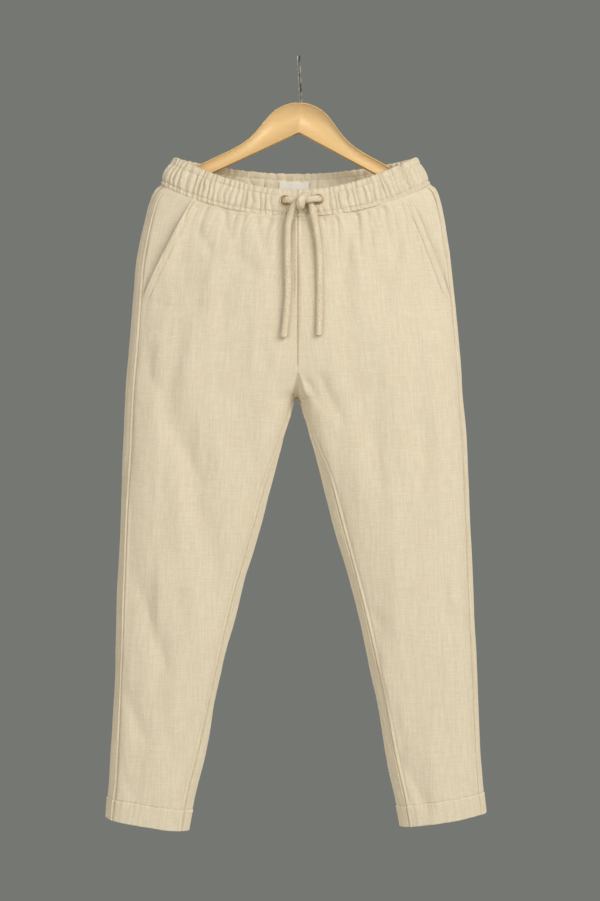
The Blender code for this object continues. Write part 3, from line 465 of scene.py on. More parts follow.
# Folds: x and drop of both ends, half width, depth. Each face's large folds, which the solids
# have too, come first, and then the smaller ones of the cloth alone.
folds = {
    "front": mm([
        (-228, 452, -147, 630, 22, 4.2), (-158, 630, -120, 815, 20, 3.6), (-243, 765, -200, 900, 18, 3.6),
        (-262, 930, -230, 1010, 17, 3.4), (-234, 364, -218, 480, 16, 2.6), (150, 245, 122, 370, 19, 3.6),
        (80, 235, 66, 325, 16, 2.6), (182, 540, 166, 640, 20, 3), (210, 704, 214, 850, 18, 3),
        (100, 820, 120, 870, 16, 2.6), (142, 1030, 186, 1105, 15, 2.8), (10, 475, 52, 520, 14, 2.8),
        (-100, 240, -86, 330, 18, 2.6),
        (-154, 252, -132, 296, 8, 2.8), (-227, 452, -208, 500, 8.5, 1.2), (-174, 571, -147, 629, 9, 1.4),
        (-157, 622, -150, 677, 8, 1.1), (-128, 684, -119, 812, 8.5, 1.1), (-243, 762, -200, 898, 9, 1.3),
        (-262, 929, -231, 1006, 8, 1.4), (-274, 1030, -243, 1102, 8, 1.5), (-234, 364, -220, 478, 8, 1.2),
        (-94, 295, -64, 326, 8, 1.2), (153, 242, 122, 364, 8.5, 3), (80, 232, 65, 318, 7.5, 2.6),
        (-116, 226, -104, 272, 5, 1.8), (-66, 236, -56, 290, 5.5, 2.2), (42, 240, 46, 284, 4.5, 1.8),
        (108, 232, 100, 286, 5, 1.8), (183, 537, 168, 591, 8, 1.3), (224, 466, 190, 534, 8.5, 1.3),
        (211, 703, 230, 754, 8, 1.1), (206, 782, 211, 843, 8, 1.2), (98, 812, 117, 843, 7, 1.4),
        (141, 1033, 184, 1107, 7.5, 1.6), (4, 474, 34, 522, 5.5, 2.8), (22, 462, 60, 540, 8, 2.4),
        (-228, 358, -190, 372, 2.2, 2.2), (-20, 476, -50, 560, 9, 1.4), (-60, 430, -30, 500, 10, 1.2),
        (-100, 560, -85, 660, 9.5, 1), (110, 560, 128, 690, 9.5, 1), (40, 300, 32, 400, 10, 0.9),
        (-190, 1000, -175, 1090, 8.5, 1.1), (215, 950, 205, 1060, 8.5, 1.1)]),
    "back": mm([
        (150, 400, 70, 540, 26, 4.5), (-160, 400, -80, 545, 26, 4.5), (120, 250, 105, 360, 20, 3.2),
        (-110, 245, -100, 350, 20, 3.2), (130, 620, 165, 860, 22, 3.8), (-150, 640, -180, 840, 22, 3.8),
        (-230, 900, -205, 1020, 18, 3), (215, 880, 200, 1020, 18, 3),
        (60, 230, 52, 330, 9, 1.4), (-50, 225, -46, 320, 9, 1.4), (165, 230, 140, 330, 8.5, 1.4),
        (-170, 230, -150, 330, 8.5, 1.4), (20, 440, 70, 505, 9, 2), (-30, 440, -80, 505, 9, 2),
        (120, 560, 190, 640, 10, 1.6), (-120, 560, -190, 650, 10, 1.6), (150, 760, 215, 820, 10, 1.5),
        (-160, 770, -225, 830, 10, 1.5), (190, 960, 225, 1060, 9, 1.3), (-200, 960, -235, 1060, 9, 1.3)]),
}


def foldRelief(face, x, drop):
    # each fold is a trough: depth times a bell across it, faded past both ends
    relief = np.zeros_like(x)
    for x1, drop1, x2, drop2, halfWidth, depth in folds[face]:
        runX, runDrop = x2 - x1, drop2 - drop1
        length = math.hypot(runX, runDrop)
        share = ((x - x1) * runX + (drop - drop1) * runDrop) / length ** 2
        aside = ((x - x1) * runDrop - (drop - drop1) * runX) / length
        fade = smooth((share + 0.25) / 0.5) * smooth((1.25 - share) / 0.5)
        relief += depth * fade * bell(aside, halfWidth)
    return relief


def rowEnds(side, station):
    # outer end, and front and back inner ends, of the rows
    g = garment
    upper, lower = np.clip(station, 0, 1), np.clip(station - 1, 0, 1)
    outerFall = (g["hemDropOuter"][side] - g["thighDropSide"]) * lower
    innerFall = (g["hemDropInner"][side] - g["crotchDrop"]) * lower
    outerDrop = mix(g["waistDropSide"], g["thighDropSide"], upper) + outerFall
    frontDrop, backDrop = (mix(g[waist], g["crotchDrop"], upper) + innerFall
                           for waist in ("waistDropFront", "waistDropBack"))
    outerX = along(g["sideOutline"], side + 1, outerDrop)
    innerX = np.where(station > 1, along(g["innerOutline"], side + 1, frontDrop), 0.0)
    return outerX, outerDrop, innerX, frontDrop, backDrop


def closing(station):
    # 0 where left and right share one hollow, 1 where each leg is a tube
    start = garment["riseStart"]
    return np.arcsin(np.clip((station - start) / (1 - start), 0, 1)) * 2 / math.pi


def body(side, phi, station, folded=True):
    # phi runs from -1, front inner end, through 0, the outer silhouette, to 1, back inner end.
    # across = (1 - cos a) / (1 - cos last); depth = sqrt(1 - |cos a| ^ power), less the folds.
    g = garment
    phi, station = np.broadcast_arrays(phi, station)
    outerX, outerDrop, innerX, frontDrop, backDrop = rowEnds(side, station)
    wrapped = phi > 1
    inFront = (phi < 0) | wrapped
    last = math.pi / 2 * (1 + closing(station))
    angle = np.where(wrapped, 2 - phi, np.abs(phi)) * last
    across = (1 - np.cos(angle)) / (1 - np.cos(last))
    sharp = mix(g["crotchPower"], g["legPower"], smooth((station - 1.0) / g["crotchFade"]))
    power = np.where(angle < math.pi / 2, g["outerPower"], np.where(inFront, sharp, g["legPower"]))
    depth = np.sqrt(np.clip(1 - np.abs(np.cos(angle)) ** power, 0, 1))
    atWaist = np.clip(across, 0, 1) ** np.where(inFront, g["waistDipPower"], 1.0)
    dip = mix(np.sin(math.pi * atWaist / 2), across, np.clip(station, 0, 1))
    offAxis = sideSign[side] * mix(outerX, innerX, across)
    x = g["axisX"] + offAxis
    drop = mix(outerDrop, np.where(inFront, frontDrop, backDrop), dip)
    slope, reach, stations = g["forkSkew"]
    drop = drop + slope * offAxis * bell(offAxis, reach) * bell(station - 1, stations)
    size = along(g["halfDepth"], 1, station) * depth
    if folded:
        # above the crotch the front parts into two rolled edges with a shaded hollow between them
        f = fork
        opened = np.clip((station - f["start"]) / (1 - f["start"]), 0, 1)
        below = smooth((station - 1) / f["runOut"])
        width = f["tip"] + mix(f["width"][side], f["endWidth"], below) * opened
        aside = (np.abs(offAxis) - innerX) / width
        hollow = f["depth"] * opened ** f["growth"] * (1 - below) * smooth((1 - aside) / f["edge"])
        size = np.where(inFront, np.maximum(size - hollow, np.minimum(size, f["kept"])), size)
        relief = np.where(inFront, foldRelief("front", x, drop), foldRelief("back", x, drop))
        size = size - relief * depth ** 2
    return np.stack([x, np.where(inFront, -size, size), -drop], axis=-1)


def outerPhi(inboard, width, closed):
    # phi at a distance inside the silhouette, from across = (1 - cos a) / (1 - cos last)
    last = math.pi / 2 * (1 + closed)
    share = np.clip(inboard / width, 0, 1)
    return np.arccos(1 - share * (1 - np.cos(last))) / last


def seamPhi(side, station):
    # the side seam keeps one distance from the silhouette
    outerX, _, innerX, _, _ = rowEnds(side, station)
    return outerPhi(garment["sideSeamInboard"][side], outerX - innerX, closing(station))


def inseamRoll(side, station):
    # how far the back panel comes round to the front, growing below the crotch; as a share of phi,
    # arccos(1 - 2 inboard / width) / pi
    outerX, _, innerX, _, _ = rowEnds(side, station)
    start, end = garment["inseamRoll"]
    share = np.clip((station - start) / (end - start), 0, 1) * (station > 1)
    return np.arccos(1 - 2 * garment["inseamInboard"][side] * share / (outerX - innerX)) / math.pi


def pocketPhi(side, station):
    # the slant runs straight from its top, at the waist seam, to the side seam
    outerX = rowEnds(side, station)[0]
    endX = rowEnds(side, np.array(pocket["end"]))[0] - garment["sideSeamInboard"][side]
    fromAxis = mix(pocket["topFromAxis"][side], endX, station / pocket["end"])
    return outerPhi(outerX - fromAxis, outerX, closing(station))


def gridNormals(points, front):
    # cross product of the differences along rows and columns, turned to face outwards
    normal = np.cross(np.gradient(points, axis=1), np.gradient(points, axis=0))
    normal /= np.maximum(np.linalg.norm(normal, axis=-1, keepdims=True), 1e-12)
    return normal * np.sign(normal[..., 1].sum()) * (-1 if front else 1)


def turnAt(aside, halfWidth):
    # quarter turns round the waist: 0 centre front, 1 right, 2 centre back, 3 or -1 left
    return np.arcsin(np.clip(aside / halfWidth, -0.999, 0.999)) * 2 / math.pi


waistband = {
    "topHalfWidth": (0.1833, 0.1773), "topDropSide": 0.1454, "topDropFront": 0.2006, "topDropBack": 0.1647,
    "topDipPower": 0.9, "topHalfDepth": 0.0425, "sideBulge": (0.0034, 0.0010), "sideRound": (0.0020, 0.012),
    "foldDrop": 0.0019, "joinFromAxis": (0.1490, 0.1680), "joinGap": 0.0003, "joinDepth": -0.0012,
    "joinReach": 0.0075, "height": 0.040, "wall": 0.0034, "puff": 0.0013, "thickness": 0.0006,
    "gathersFront": 38, "gathersBack": 50, "gatherDepth": 0.0033,
    "unevenness": 0.30, "drifts": [(5, 0.59), (13, 0.41)],      # the gathers' spacing: waves, shares
    "lowStitch": 0.150, "highStitch": 0.790, "stitchPinch": 0.0012, "pinchReach": 0.0010,
    "columnStep": 0.00072, "eyeletFlat": (0.0087, 0.0102),      # flat round an eyelet: radius, fade
}


def bandJoins():
    # the turns at which the front and the back band meet
    outline = garment["sideOutline"][0]
    return [sideSign[s] * turnAt(waistband["joinFromAxis"][s], outline[s + 1]) for s in (left, right)]


def gatherPhase(turn):
    # angle of the gather waves; turn is 0 centre front, 1 right, 2 centre back, 3 left
    start, end = bandJoins()
    turn = np.where(turn > 2.5, turn - 4, turn)
    inFront = (turn >= start) & (turn <= end)
    backTurn = np.where(turn < start, turn + 4, turn)
    share = np.where(inFront, (turn - start) / (end - start), (backTurn - end) / (start + 4 - end))
    count = np.where(inFront, waistband["gathersFront"], waistband["gathersBack"])
    uneven = sum(size * np.sin(2 * math.pi * waves * share) for waves, size in waistband["drifts"])
    return 2 * math.pi * (count * share + waistband["unevenness"] * uneven)


def gatherValleys(phase, width, seed, shallow=0.15):
    # one narrow crease a wave, pointed at its bottom, each with its own depth
    wave = phase / (2 * math.pi)
    nearest = np.round(wave)
    which = nearest.astype(int) % 512
    chance = np.random.default_rng(seed)
    deep = chance.uniform(0, 1, 512)[which] ** 0.8
    narrow = width * chance.uniform(0.65, 1.35, 512)[which]
    return mix(shallow, 1.0, deep) * np.exp(-(np.abs(wave - nearest) * 2 * math.pi / narrow) ** 1.4)


# Leg panels. Lengths and depths in pairs are width, depth of a groove, or length in which a
# thing fades, height; in threes they are middle, width, height of a ridge.
cloth = {
    "thickness": 0.0009, "frontColumns": 74, "backColumns": 86, "bagColumns": 24,
    "steadyStations": (0.86, 1.10), "steadyReach": 0.045,
    "hemHeight": 0.0300, "hemTurn": 0.0011, "hemStep": 0.0009, "hemPucker": 0.00095,
    "hemGroove": (0.0011, 0.0011),
    # creases: size across and down the cloth, depth
    "crease": [(0.0100, 0.046, 0.00060), (0.0240, 0.115, 0.00240), (0.0050, 0.016, 0.00018)],
    "calm": 0.006,                                              # creases fade this far from an edge
    "pucker": [(0.0085, 0.00150), (0.0400, 0.00480)],
    "topInset": 0.0008, "bagInset": 0.0011, "insetReach": 0.0022,
    "tuck": (0.0030, 0.0016),                                   # the top edge goes up under the waistband
    "sideGroove": (0.0010, 0.0012), "sideRidge": (0.0022, 0.0012, 0.0014),
    "inseamGroove": (0.0009, 0.0010), "inseamRidge": (0.0020, 0.0011, 0.0010),
    "seatGroove": (0.0009, 0.0010), "seatRidge": (0.0018, 0.0011, 0.0006),
    "centreSlit": (0.0012, 0.0030), "inseamStitch": 0.0056, "inseamStitchGroove": (0.0011, 0.00100),
    "pocketStitch": 0.0100, "pocketStitchGroove": (0.0010, 0.0019), "pocketEdge": (0.0006, 0.0005),
    "mouthLift": (0.0062, 0.0030), "mouthReach": 0.030,         # how far the left and right pocket gape
}
# distances of the columns from either edge of a panel
edgePlaces = mm([0, 0.4, 0.8, 1.2, 1.7, 2.3, 3, 3.8, 4.8, 5.8, 7, 8.2, 9.2, 10, 10.8, 11.8, 13.4])


def panelRows():
    # stations: dense at the waist seam, at the crotch, and round the hem's stitches
    rise = garment["riseStart"]
    hemStart = 2 - cloth["hemHeight"] / (garment["hemDropOuter"][0] - garment["thighDropSide"])
    around = (hemStart - 0.010, hemStart + 0.010)
    turns = np.sin(np.linspace(0, math.pi / 2, 44))[:-4]
    stations = np.concatenate([
        np.linspace(0, 0.030, 9)[:-1], np.linspace(0.030, 0.12, 16)[:-1], np.linspace(0.12, rise, 52)[:-1],
        mix(rise, 1.0, turns), [0.9965, 1.0], 1 + 0.05 * np.linspace(0, 1, 20)[1:] ** 1.2,
        np.linspace(1.05, around[0], 176)[1:], np.linspace(*around, 17)[1:],
        np.linspace(around[1], 2.0, 9)[1:]])
    # at the hem the cloth turns inwards round a half circle, and goes up again inside
    turned = np.linspace(0, math.pi, 8)[1:]
    inside = np.linspace(2.0, hemStart + 0.004, 7)[1:]
    flat, upward = np.zeros(len(stations)), np.zeros(len(inside))
    return {
        "station": np.concatenate([stations, np.full(len(turned), 2.0), inside]),
        "inward": cloth["hemTurn"] * np.concatenate([flat, 1 - np.cos(turned), upward + 2]),
        "down": cloth["hemTurn"] * np.concatenate([flat, np.sin(turned), upward]),
        "hemStart": hemStart}


rows = panelRows()
outsideRows = rows["inward"] == 0


def spread(total, middle):
    # distances from a row's start: set places near both edges, even ones between
    low = np.minimum(edgePlaces[None, :], total * 0.5 * edgePlaces[None, :] / edgePlaces[-1])
    share = np.linspace(0, 1, middle + 2)[None, 1:-1]
    between = mix(low[:, -1:], total - low[:, -1:], share)
    return np.concatenate([low, between, total - low[:, ::-1]], axis=1)


def evenColumns(side, first, last, station, middle):
    # finds the phi of each column from its distance along the row
    probe = np.linspace(0, 1, 281)[None, :]
    run = runAlong(body(side, mix(first, last, probe), station, folded=False), 1)
    total = run[:, -1:]
    toSide = body(side, mix(last, 0.0, np.linspace(0, 1, 41)[None, :]), station, folded=False)
    lead = runAlong(toSide, 1)[:, -1:]          # on to the outer silhouette
    # near the crotch rows soon grow longer at their inner end, and the columns farther out keep their places
    at = station[:, 0]
    low, high = cloth["steadyStations"]
    known = (at <= low) | (at >= high) | (at.max() < 1)
    knots = known & outsideRows[:len(at)]
    steady = np.where(known, total[:, 0], np.interp(at, at[knots], total[knots, 0]))[:, None]
    placed = spread(steady, middle)
    distance = mix(spread(total, middle), total - steady + placed, smooth(placed / cloth["steadyReach"]))
    share = readRows(distance, run, probe)
    share[:, 0], share[:, -1] = 0.0, 1.0
    return mix(first, last, share), distance, total - distance, lead


def creases(u, v, seed):
    # three layers of soft noise, longer down the cloth than across it
    return sum(depth * softNoise(u / wide + 31 * layer, v / tall + 17 * layer, seed + layer)
               for layer, (wide, tall, depth) in enumerate(cloth["crease"]))


def groove(distance, pair):
    # a trough: minus depth times a bell
    return -pair[1] * bell(distance, pair[0])


def ridge(distance, triple):
    # a raised line: height times a bell
    middle, width, height = triple
    return height * bell(distance - middle, width)


def fadeUnder(down):
    # puckers start a little below the waist seam
    return smooth(down / 0.008 + 0.08)


def tuckUp(down):
    # the height of the tuck at the top edge, faded out over its reach
    reach, height = cloth["tuck"]
    return height * (1 - smooth(down / reach))


def hangingPuckers(base, down, outerX, seed):
    # puckers hang from the gathers above and die out down the cloth
    turn = turnAt(base[..., 0] - garment["axisX"], outerX)
    turn = np.where(base[..., 1] > 0, 2 - turn, turn)
    wander = 1.3 * softNoise(turn * 9, down / 0.030, seed + 5)
    phase = gatherPhase(turn)
    short = gatherValleys(phase + wander, 1.05, 3)
    long = gatherValleys(0.62 * phase + 0.7 * wander, 1.2, 4, 0.0)
    longer = 0.5 + 0.5 * softNoise(turn * 14, 0.5, seed + 6)
    return sum(height * valley * np.exp(-down / fade / (0.45 + longer)) * fadeUnder(down)
               for (fade, height), valley in zip(cloth["pucker"], (short, long)))


def seamRelief(side, front, station, down, inner, outer, seed):
    # each seam is pulled a little unevenly by its thread; inner and outer are distances from both edges
    c = cloth
    tug = (0.85 + 0.35 * softNoise(down / 0.0035, 0.5, seed + 13)
           + 0.25 * softNoise(down / 0.019, 0.5, seed + 14))
    onLeg = station > 1.0
    relief = onLeg * (groove(inner, c["inseamGroove"]) + tug * ridge(inner, c["inseamRidge"]))
    if not front:
        relief = relief + ~onLeg * (groove(inner, c["seatGroove"]) + tug * ridge(inner, c["seatRidge"]))
        return relief + groove(outer, c["sideGroove"]) + tug * ridge(outer, c["sideRidge"])
    slit = smooth((fork["start"] - station) / 0.05)
    relief = relief + slit * groove(inner, c["centreSlit"])
    relief += onLeg * groove(inner - c["inseamStitch"], c["inseamStitchGroove"])
    share = np.clip(station / pocket["end"], 0, 1)
    near = 1 - smooth(outer / c["mouthReach"])
    lift = c["mouthLift"][side] * np.sin(math.pi * share) ** 0.8 * near ** 1.3
    pulls = 0.75 + 0.35 * softNoise(down / 0.004, 0.5, seed + 12)
    edge = groove(outer, c["pocketEdge"]) + pulls * groove(outer - c["pocketStitch"], c["pocketStitchGroove"])
    return relief + np.where(station < pocket["end"], lift + edge, groove(outer, c["sideGroove"]))


def hemRelief(side, station, inner, seed):
    # doubled cloth below a stitched groove, with short puckers round it
    below = (station - rows["hemStart"]) * (garment["hemDropOuter"][side] - garment["thighDropSide"])
    pull = softNoise(inner / 0.0052, 0.5, seed + 9) + 0.6 * softNoise(inner / 0.0023, 1.5, seed + 10)
    puckers = cloth["hemPucker"] * pull * (bell(below, 0.007) + 0.5 * smooth(below / 0.004))
    return cloth["hemStep"] * smooth(below / 0.0012) + groove(below, cloth["hemGroove"]) + puckers


def legPanel(side, word, front):
    # point = body(phi, station) + normal * relief; relief = creases + seams + hem - puckers
    c = cloth
    station = rows["station"][:, None]
    outerX = rowEnds(side, station)[0]
    seam, roll = seamPhi(side, station), inseamRoll(side, station)
    if front:
        edge = np.where(station < pocket["end"], np.maximum(seam, pocketPhi(side, station)), seam)
        phi, inner, outer, lead = evenColumns(side, -(1 - roll), -edge, station, c["frontColumns"])
    else:
        phi, inner, outer, lead = evenColumns(side, 1 + roll, -seam, station, c["backColumns"])
        lead = -lead
    base = body(side, phi, station)
    normal = gridNormals(base[outsideRows], front)
    normal = np.concatenate([normal, np.repeat(normal[-1:], len(base) - len(normal), axis=0)])
    down = runAlong(base)
    u, v = outer + lead + 0.3, rows["inward"][:, None] - base[..., 2]
    seed = 11 + 7 * side + (0 if front else 40)
    calm = smooth(inner / c["calm"]) * smooth(outer / c["calm"])
    if front:
        calm = calm * (1 - bell(station - 0.96, 0.07) * bell(inner, 0.03))
    relief = creases(u, v, seed) * calm - hangingPuckers(base, down, outerX, seed)
    relief -= c["topInset"] * (1 - smooth(down / c["insetReach"]))
    relief += (seamRelief(side, front, station, down, inner, outer, seed)
               + hemRelief(side, station, inner, seed))
    points = base + normal * (relief - rows["inward"][:, None])[..., None]
    points[..., 2] += tuckUp(down) - rows["down"][:, None]
    if front:
        # the two edges lap by half a millimetre
        meet = (station[:, 0] <= 1.0) & outsideRows
        lap, reach = 0.00025, 0.0003
        past = garment["axisX"] - sideSign[side] * lap
        points[meet, 0, 0] = past
        points[meet, 1, 0] = mix(points[meet, 1, 0], past + sideSign[side] * reach, 0.6)
    face = "front" if front else "back"
    piece = addSheet(face + "Panel" + word, points, normal * outsideRows[:, None, None], materials["cloth"],
                     clothMap(u, v), c["thickness"])
    place(piece, "cloth", face + "_panel_" + word.lower())
    return points, normal


panels = {}
for side, word in bothSides:
    for face in ("front", "back"):
        panels[face, side] = legPanel(side, word, face == "front")
print("stage: leg panels made")


def pocketBag(side, word):
    # The facing that shows in the opening goes on as a bag behind the front panel.
    # point = body(phi, station) + normal * relief; relief = creases - depth behind the panel
    p, c = pocket, cloth
    station = rows["station"][(rows["station"] < p["bagEnd"]) & outsideRows][:, None]
    outerX = rowEnds(side, station)[0]
    wide, start, length = p["bagRound"]
    roundOff = wide * smooth((station - start) / length) ** 2
    bag = outerPhi(outerX - p["bagFromAxis"] - roundOff, outerX, closing(station))
    seam, slant = seamPhi(side, station), pocketPhi(side, station)
    phi, fromSeam, _, _ = evenColumns(side, -seam, -bag, station, c["bagColumns"])
    base = body(side, phi, station)
    normal = gridNormals(base, True)
    down = runAlong(base)
    # it lies behind the front panel, but meets it at the side seam and near the waistband
    reach = 0.8 * np.maximum(slant - seam, 0.02)
    past = station - p["end"]
    under = np.where(past < 0, smooth((-phi - seam) / reach), 1.0)
    under = np.maximum(under, smooth((past + 0.12) / 0.10))
    under = under * np.maximum(smooth(fromSeam / 0.007), smooth(past / 0.01))
    under = under * mix(0.12, 1.0, smooth(down / 0.026))
    relief = creases(fromSeam, down, 71 + side) * smooth(fromSeam / c["calm"]) * 0.6 - p["behind"] * under
    relief += groove(fromSeam, c["sideGroove"]) * (past < 0)
    valley = gatherValleys(gatherPhase(turnAt(base[..., 0] - garment["axisX"], outerX)), 1.15, 3)
    relief -= 0.0009 * valley * np.exp(-down / 0.012) * fadeUnder(down)
    relief -= c["bagInset"] * (1 - smooth(down / c["insetReach"]))
    points = base + normal * relief[..., None]
    points[..., 2] += tuckUp(down)
    piece = addSheet("pocket" + word, points, normal, materials["cloth"],
                     clothMap(0.3 + fromSeam, -base[..., 2]), p["thickness"])
    return place(piece, "cloth", "pocket_" + word.lower())


for side, word in bothSides:
    pocketBag(side, word)
print("stage: pockets made")

# rolled brass flanges: x and drop of both, radius of the hole and the flange, height
eyelets = {"spots": [(-0.0233, 0.2174), (0.0262, 0.2156)], "hole": 0.0050, "flange": 0.0079, "height": 0.0013,
           "bandHalfWidth": 0.1905}


# waistband: a casing gathered by the elastic inside it
def bandMiddle(turn, height):
    # half an ellipse on each side; its width, depth and drop run from the waist seam to the top
    w, g = waistband, garment
    turn, height = np.broadcast_arrays(turn, height)
    sine, cosine = np.sin(turn * math.pi / 2), np.cos(turn * math.pi / 2)
    inFront = cosine >= 0
    across = 1 - np.abs(sine)
    inside = np.clip(height, 0, 1)

    def bySide(pair):
        return np.where(sine >= 0, pair[right], pair[left])

    def seamDrop(side, front, back, power):
        dip = np.sin(math.pi / 2 * across ** np.where(inFront, power, 1.0))
        return mix(side, np.where(inFront, front, back), dip)

    width = mix(bySide(g["sideOutline"][0][1:]), bySide(w["topHalfWidth"]), inside)
    width = width + bySide(w["sideBulge"]) * np.sin(math.pi * inside) ** 1.5
    depth = mix(g["halfDepth"][0][1], w["topHalfDepth"], inside)
    lowDrop = seamDrop(g["waistDropSide"], g["waistDropFront"], g["waistDropBack"], g["waistDipPower"])
    highDrop = seamDrop(w["topDropSide"], w["topDropFront"], w["topDropBack"], w["topDipPower"])
    lower, reach = w["sideRound"]
    highDrop = highDrop + w["foldDrop"] + lower * bell(across, reach)
    flat = np.sqrt(np.clip(1 - np.abs(sine) ** g["outerPower"], 0, 1))
    return np.stack([g["axisX"] + width * sine, -depth * np.sign(cosine) * flat,
                     -mix(lowDrop, highDrop, height)], axis=-1)


def bandNormals(turn, height):
    # cross product of small steps along the band and up it
    step = 0.0006
    turn, height = np.broadcast_arrays(turn, height)
    inside = np.clip(height, step, 1 - step)
    sideways = bandMiddle(turn + step, inside) - bandMiddle(turn - step, inside)
    return unit(np.cross(sideways, bandMiddle(turn, inside + step) - bandMiddle(turn, inside - step)))


def bandRelief(turn, height, inner):
    # puffs between the stitch lines; the creases between them wander, lean and fade with height
    w = waistband
    low, high = w["lowStitch"], w["highStitch"]
    inLow, inHigh = height < low, height < high
    zones = ((0, low), (low, high), (high, 1))
    zoneLow, zoneMain, zoneTop = (np.clip((height - a) / (b - a), 0, 1) for a, b in zones)
    puff = np.where(inLow, 0.50 * np.sin(math.pi * zoneLow) ** 0.6, np.where(
        inHigh, np.sin(math.pi * zoneMain) ** 0.5, 0.8 * np.sin(math.pi / 2 * zoneTop) ** 0.5))
    phase = gatherPhase(turn)
    wander = 2.1 * softNoise(turn * 16, height * 2.4, 21) + 0.9 * softNoise(turn * 38, height * 4.5, 22)
    lean = 1.6 * (height - 0.45) * softNoise(turn * 9, 0.5, 23)
    fading = mix(0.35, 1.0, smooth(0.5 + softNoise(turn * 26, height * 3.0, 24)))
    main = gatherValleys(phase + wander + lean, 0.62, 5) * fading
    rare = smooth(-0.1 + softNoise(turn * 31, height * 3.5, 25))
    main = main + 0.6 * gatherValleys(phase + math.pi + 1.6 * wander, 0.45, 6) * rare
    strip = gatherValleys(2.3 * phase + wander, 0.9, 7)
    header = gatherValleys(1.4 * phase + 0.8 * wander, 0.9, 8)
    pillow = 0.25 * np.cos(phase + math.pi + wander + lean)
    creased = np.where(inLow, 0.75 * strip, np.where(inHigh, main, 0.55 * header))
    settle = 0.55 + 0.45 * smooth(np.minimum(np.abs(height - low), np.abs(height - high)) / 0.05)
    gathered = w["gatherDepth"] * (pillow - creased * settle) * (0.25 + 0.75 * smooth(height / 0.07))
    relief = puff * w["puff"] + gathered
    # both bands are drawn to the same depth where they are joined
    start, end = bandJoins()
    around = np.where(turn > 2.5, turn - 4, turn)
    fromJoin = np.minimum(np.abs(around - start), np.abs(around - end))
    relief = mix(relief, w["joinDepth"], bell(fromJoin, w["joinReach"]))
    pinched = (bell((height - low) * w["height"], w["pinchReach"])
               + 0.5 * bell((height - high) * w["height"], w["pinchReach"]))
    return relief - w["stitchPinch"] * (0.35 if inner else 1.0) * pinched


def bandOutside(turn, height):
    # middle surface + normal * relief, which is flat round each eyelet
    turn, height = np.broadcast_arrays(turn, height)
    points = bandMiddle(turn, height)
    relief = bandRelief(turn, height, False)
    flat, fade = waistband["eyeletFlat"]
    for x, drop in eyelets["spots"]:
        away = np.hypot(points[..., 0] - x, points[..., 2] + drop)
        away = np.where(points[..., 1] < 0, away, 1.0)
        relief = mix(0.0014, relief, smooth((away - flat) / fade))
    return points + bandNormals(turn, height) * relief[..., None]


def bandPiece(name, start, end):
    # a closed profile, carried along the band: outer wall, half-round fold over the top, inner wall
    w = waistband
    low, high = w["lowStitch"], w["highStitch"]
    angle = mix(start, end, np.linspace(0, 1, 4001))
    run = runAlong(bandMiddle(angle, 0.5))
    even = np.linspace(0, run[-1], int(run[-1] / w["columnStep"]) + 1)
    turn = np.interp(even, run, angle)[None, :]
    nearStitch = np.array([-0.018, 0, 0.018])
    heights = np.concatenate([np.linspace(0, low - 0.03, 6), low + nearStitch,
                              np.linspace(low + 0.04, high - 0.04, 15), high + nearStitch,
                              np.linspace(high + 0.05, 1, 7)])[:, None]
    outward, outside = bandNormals(turn, heights), bandOutside(turn, heights)
    outside[0] -= outward[0] * 0.0005           # the edge turns in at the waist seam
    innerHeights = np.concatenate([np.linspace(1, high + 0.03, 5), high + np.array([0.015, 0, -0.015]),
                                   np.linspace(high - 0.05, low + 0.05, 8), low + np.array([0.015, -0.015]),
                                   [0.08, 0.0]])[:, None]
    inward = bandNormals(turn, innerHeights)
    innerRelief = -w["wall"] - np.clip(bandRelief(turn, innerHeights, True), -0.0028, 0.0022)
    inside = bandMiddle(turn, innerHeights) + inward * innerRelief[..., None]
    # rounded fold over the top, between the last outer row and the first inner row
    arc = np.linspace(0, math.pi, 7)[1:-1][:, None, None]
    middle, half = (outside[-1] + inside[0]) / 2, (outside[-1] - inside[0]) / 2
    up = np.array([0, 0, 1.0])
    fold = middle + half * np.cos(arc) + up * np.linalg.norm(half, axis=-1, keepdims=True) * np.sin(arc) * 0.6
    waves = np.cos(gatherPhase(turn) + 1.5 * softNoise(turn * 16, 2.4, 21))
    scallop = 0.0005 * waves * (1 + softNoise(turn * 11, 0.5, 27))
    outside[-4:, :, 2] += scallop * np.array([0.1, 0.3, 0.6, 1.0])[:, None]
    fold[..., 2] += scallop
    inside[:2, :, 2] += scallop * np.array([1.0, 0.5])[:, None]
    points = np.concatenate([outside, fold, inside])
    looks = np.concatenate([outward, np.broadcast_to(up, fold.shape), -inward])
    steps = np.linalg.norm(np.diff(points, axis=0), axis=2).mean(axis=1)
    uv = clothMap(even[None, :] * 1.25, np.insert(np.cumsum(steps), 0, 0)[:, None])
    return addSheet(name, points, looks, materials["cloth"], uv, w["thickness"], closeRows=True)


joinLeft, joinRight = bandJoins()
joinGap = waistband["joinGap"]
for name, start, end in (("Front", joinLeft, joinRight), ("Back", joinRight, joinLeft + 4)):
    place(bandPiece("waistband" + name, start + joinGap, end - joinGap), "cloth", "waistband_" + name.lower())
print("stage: waistband made")


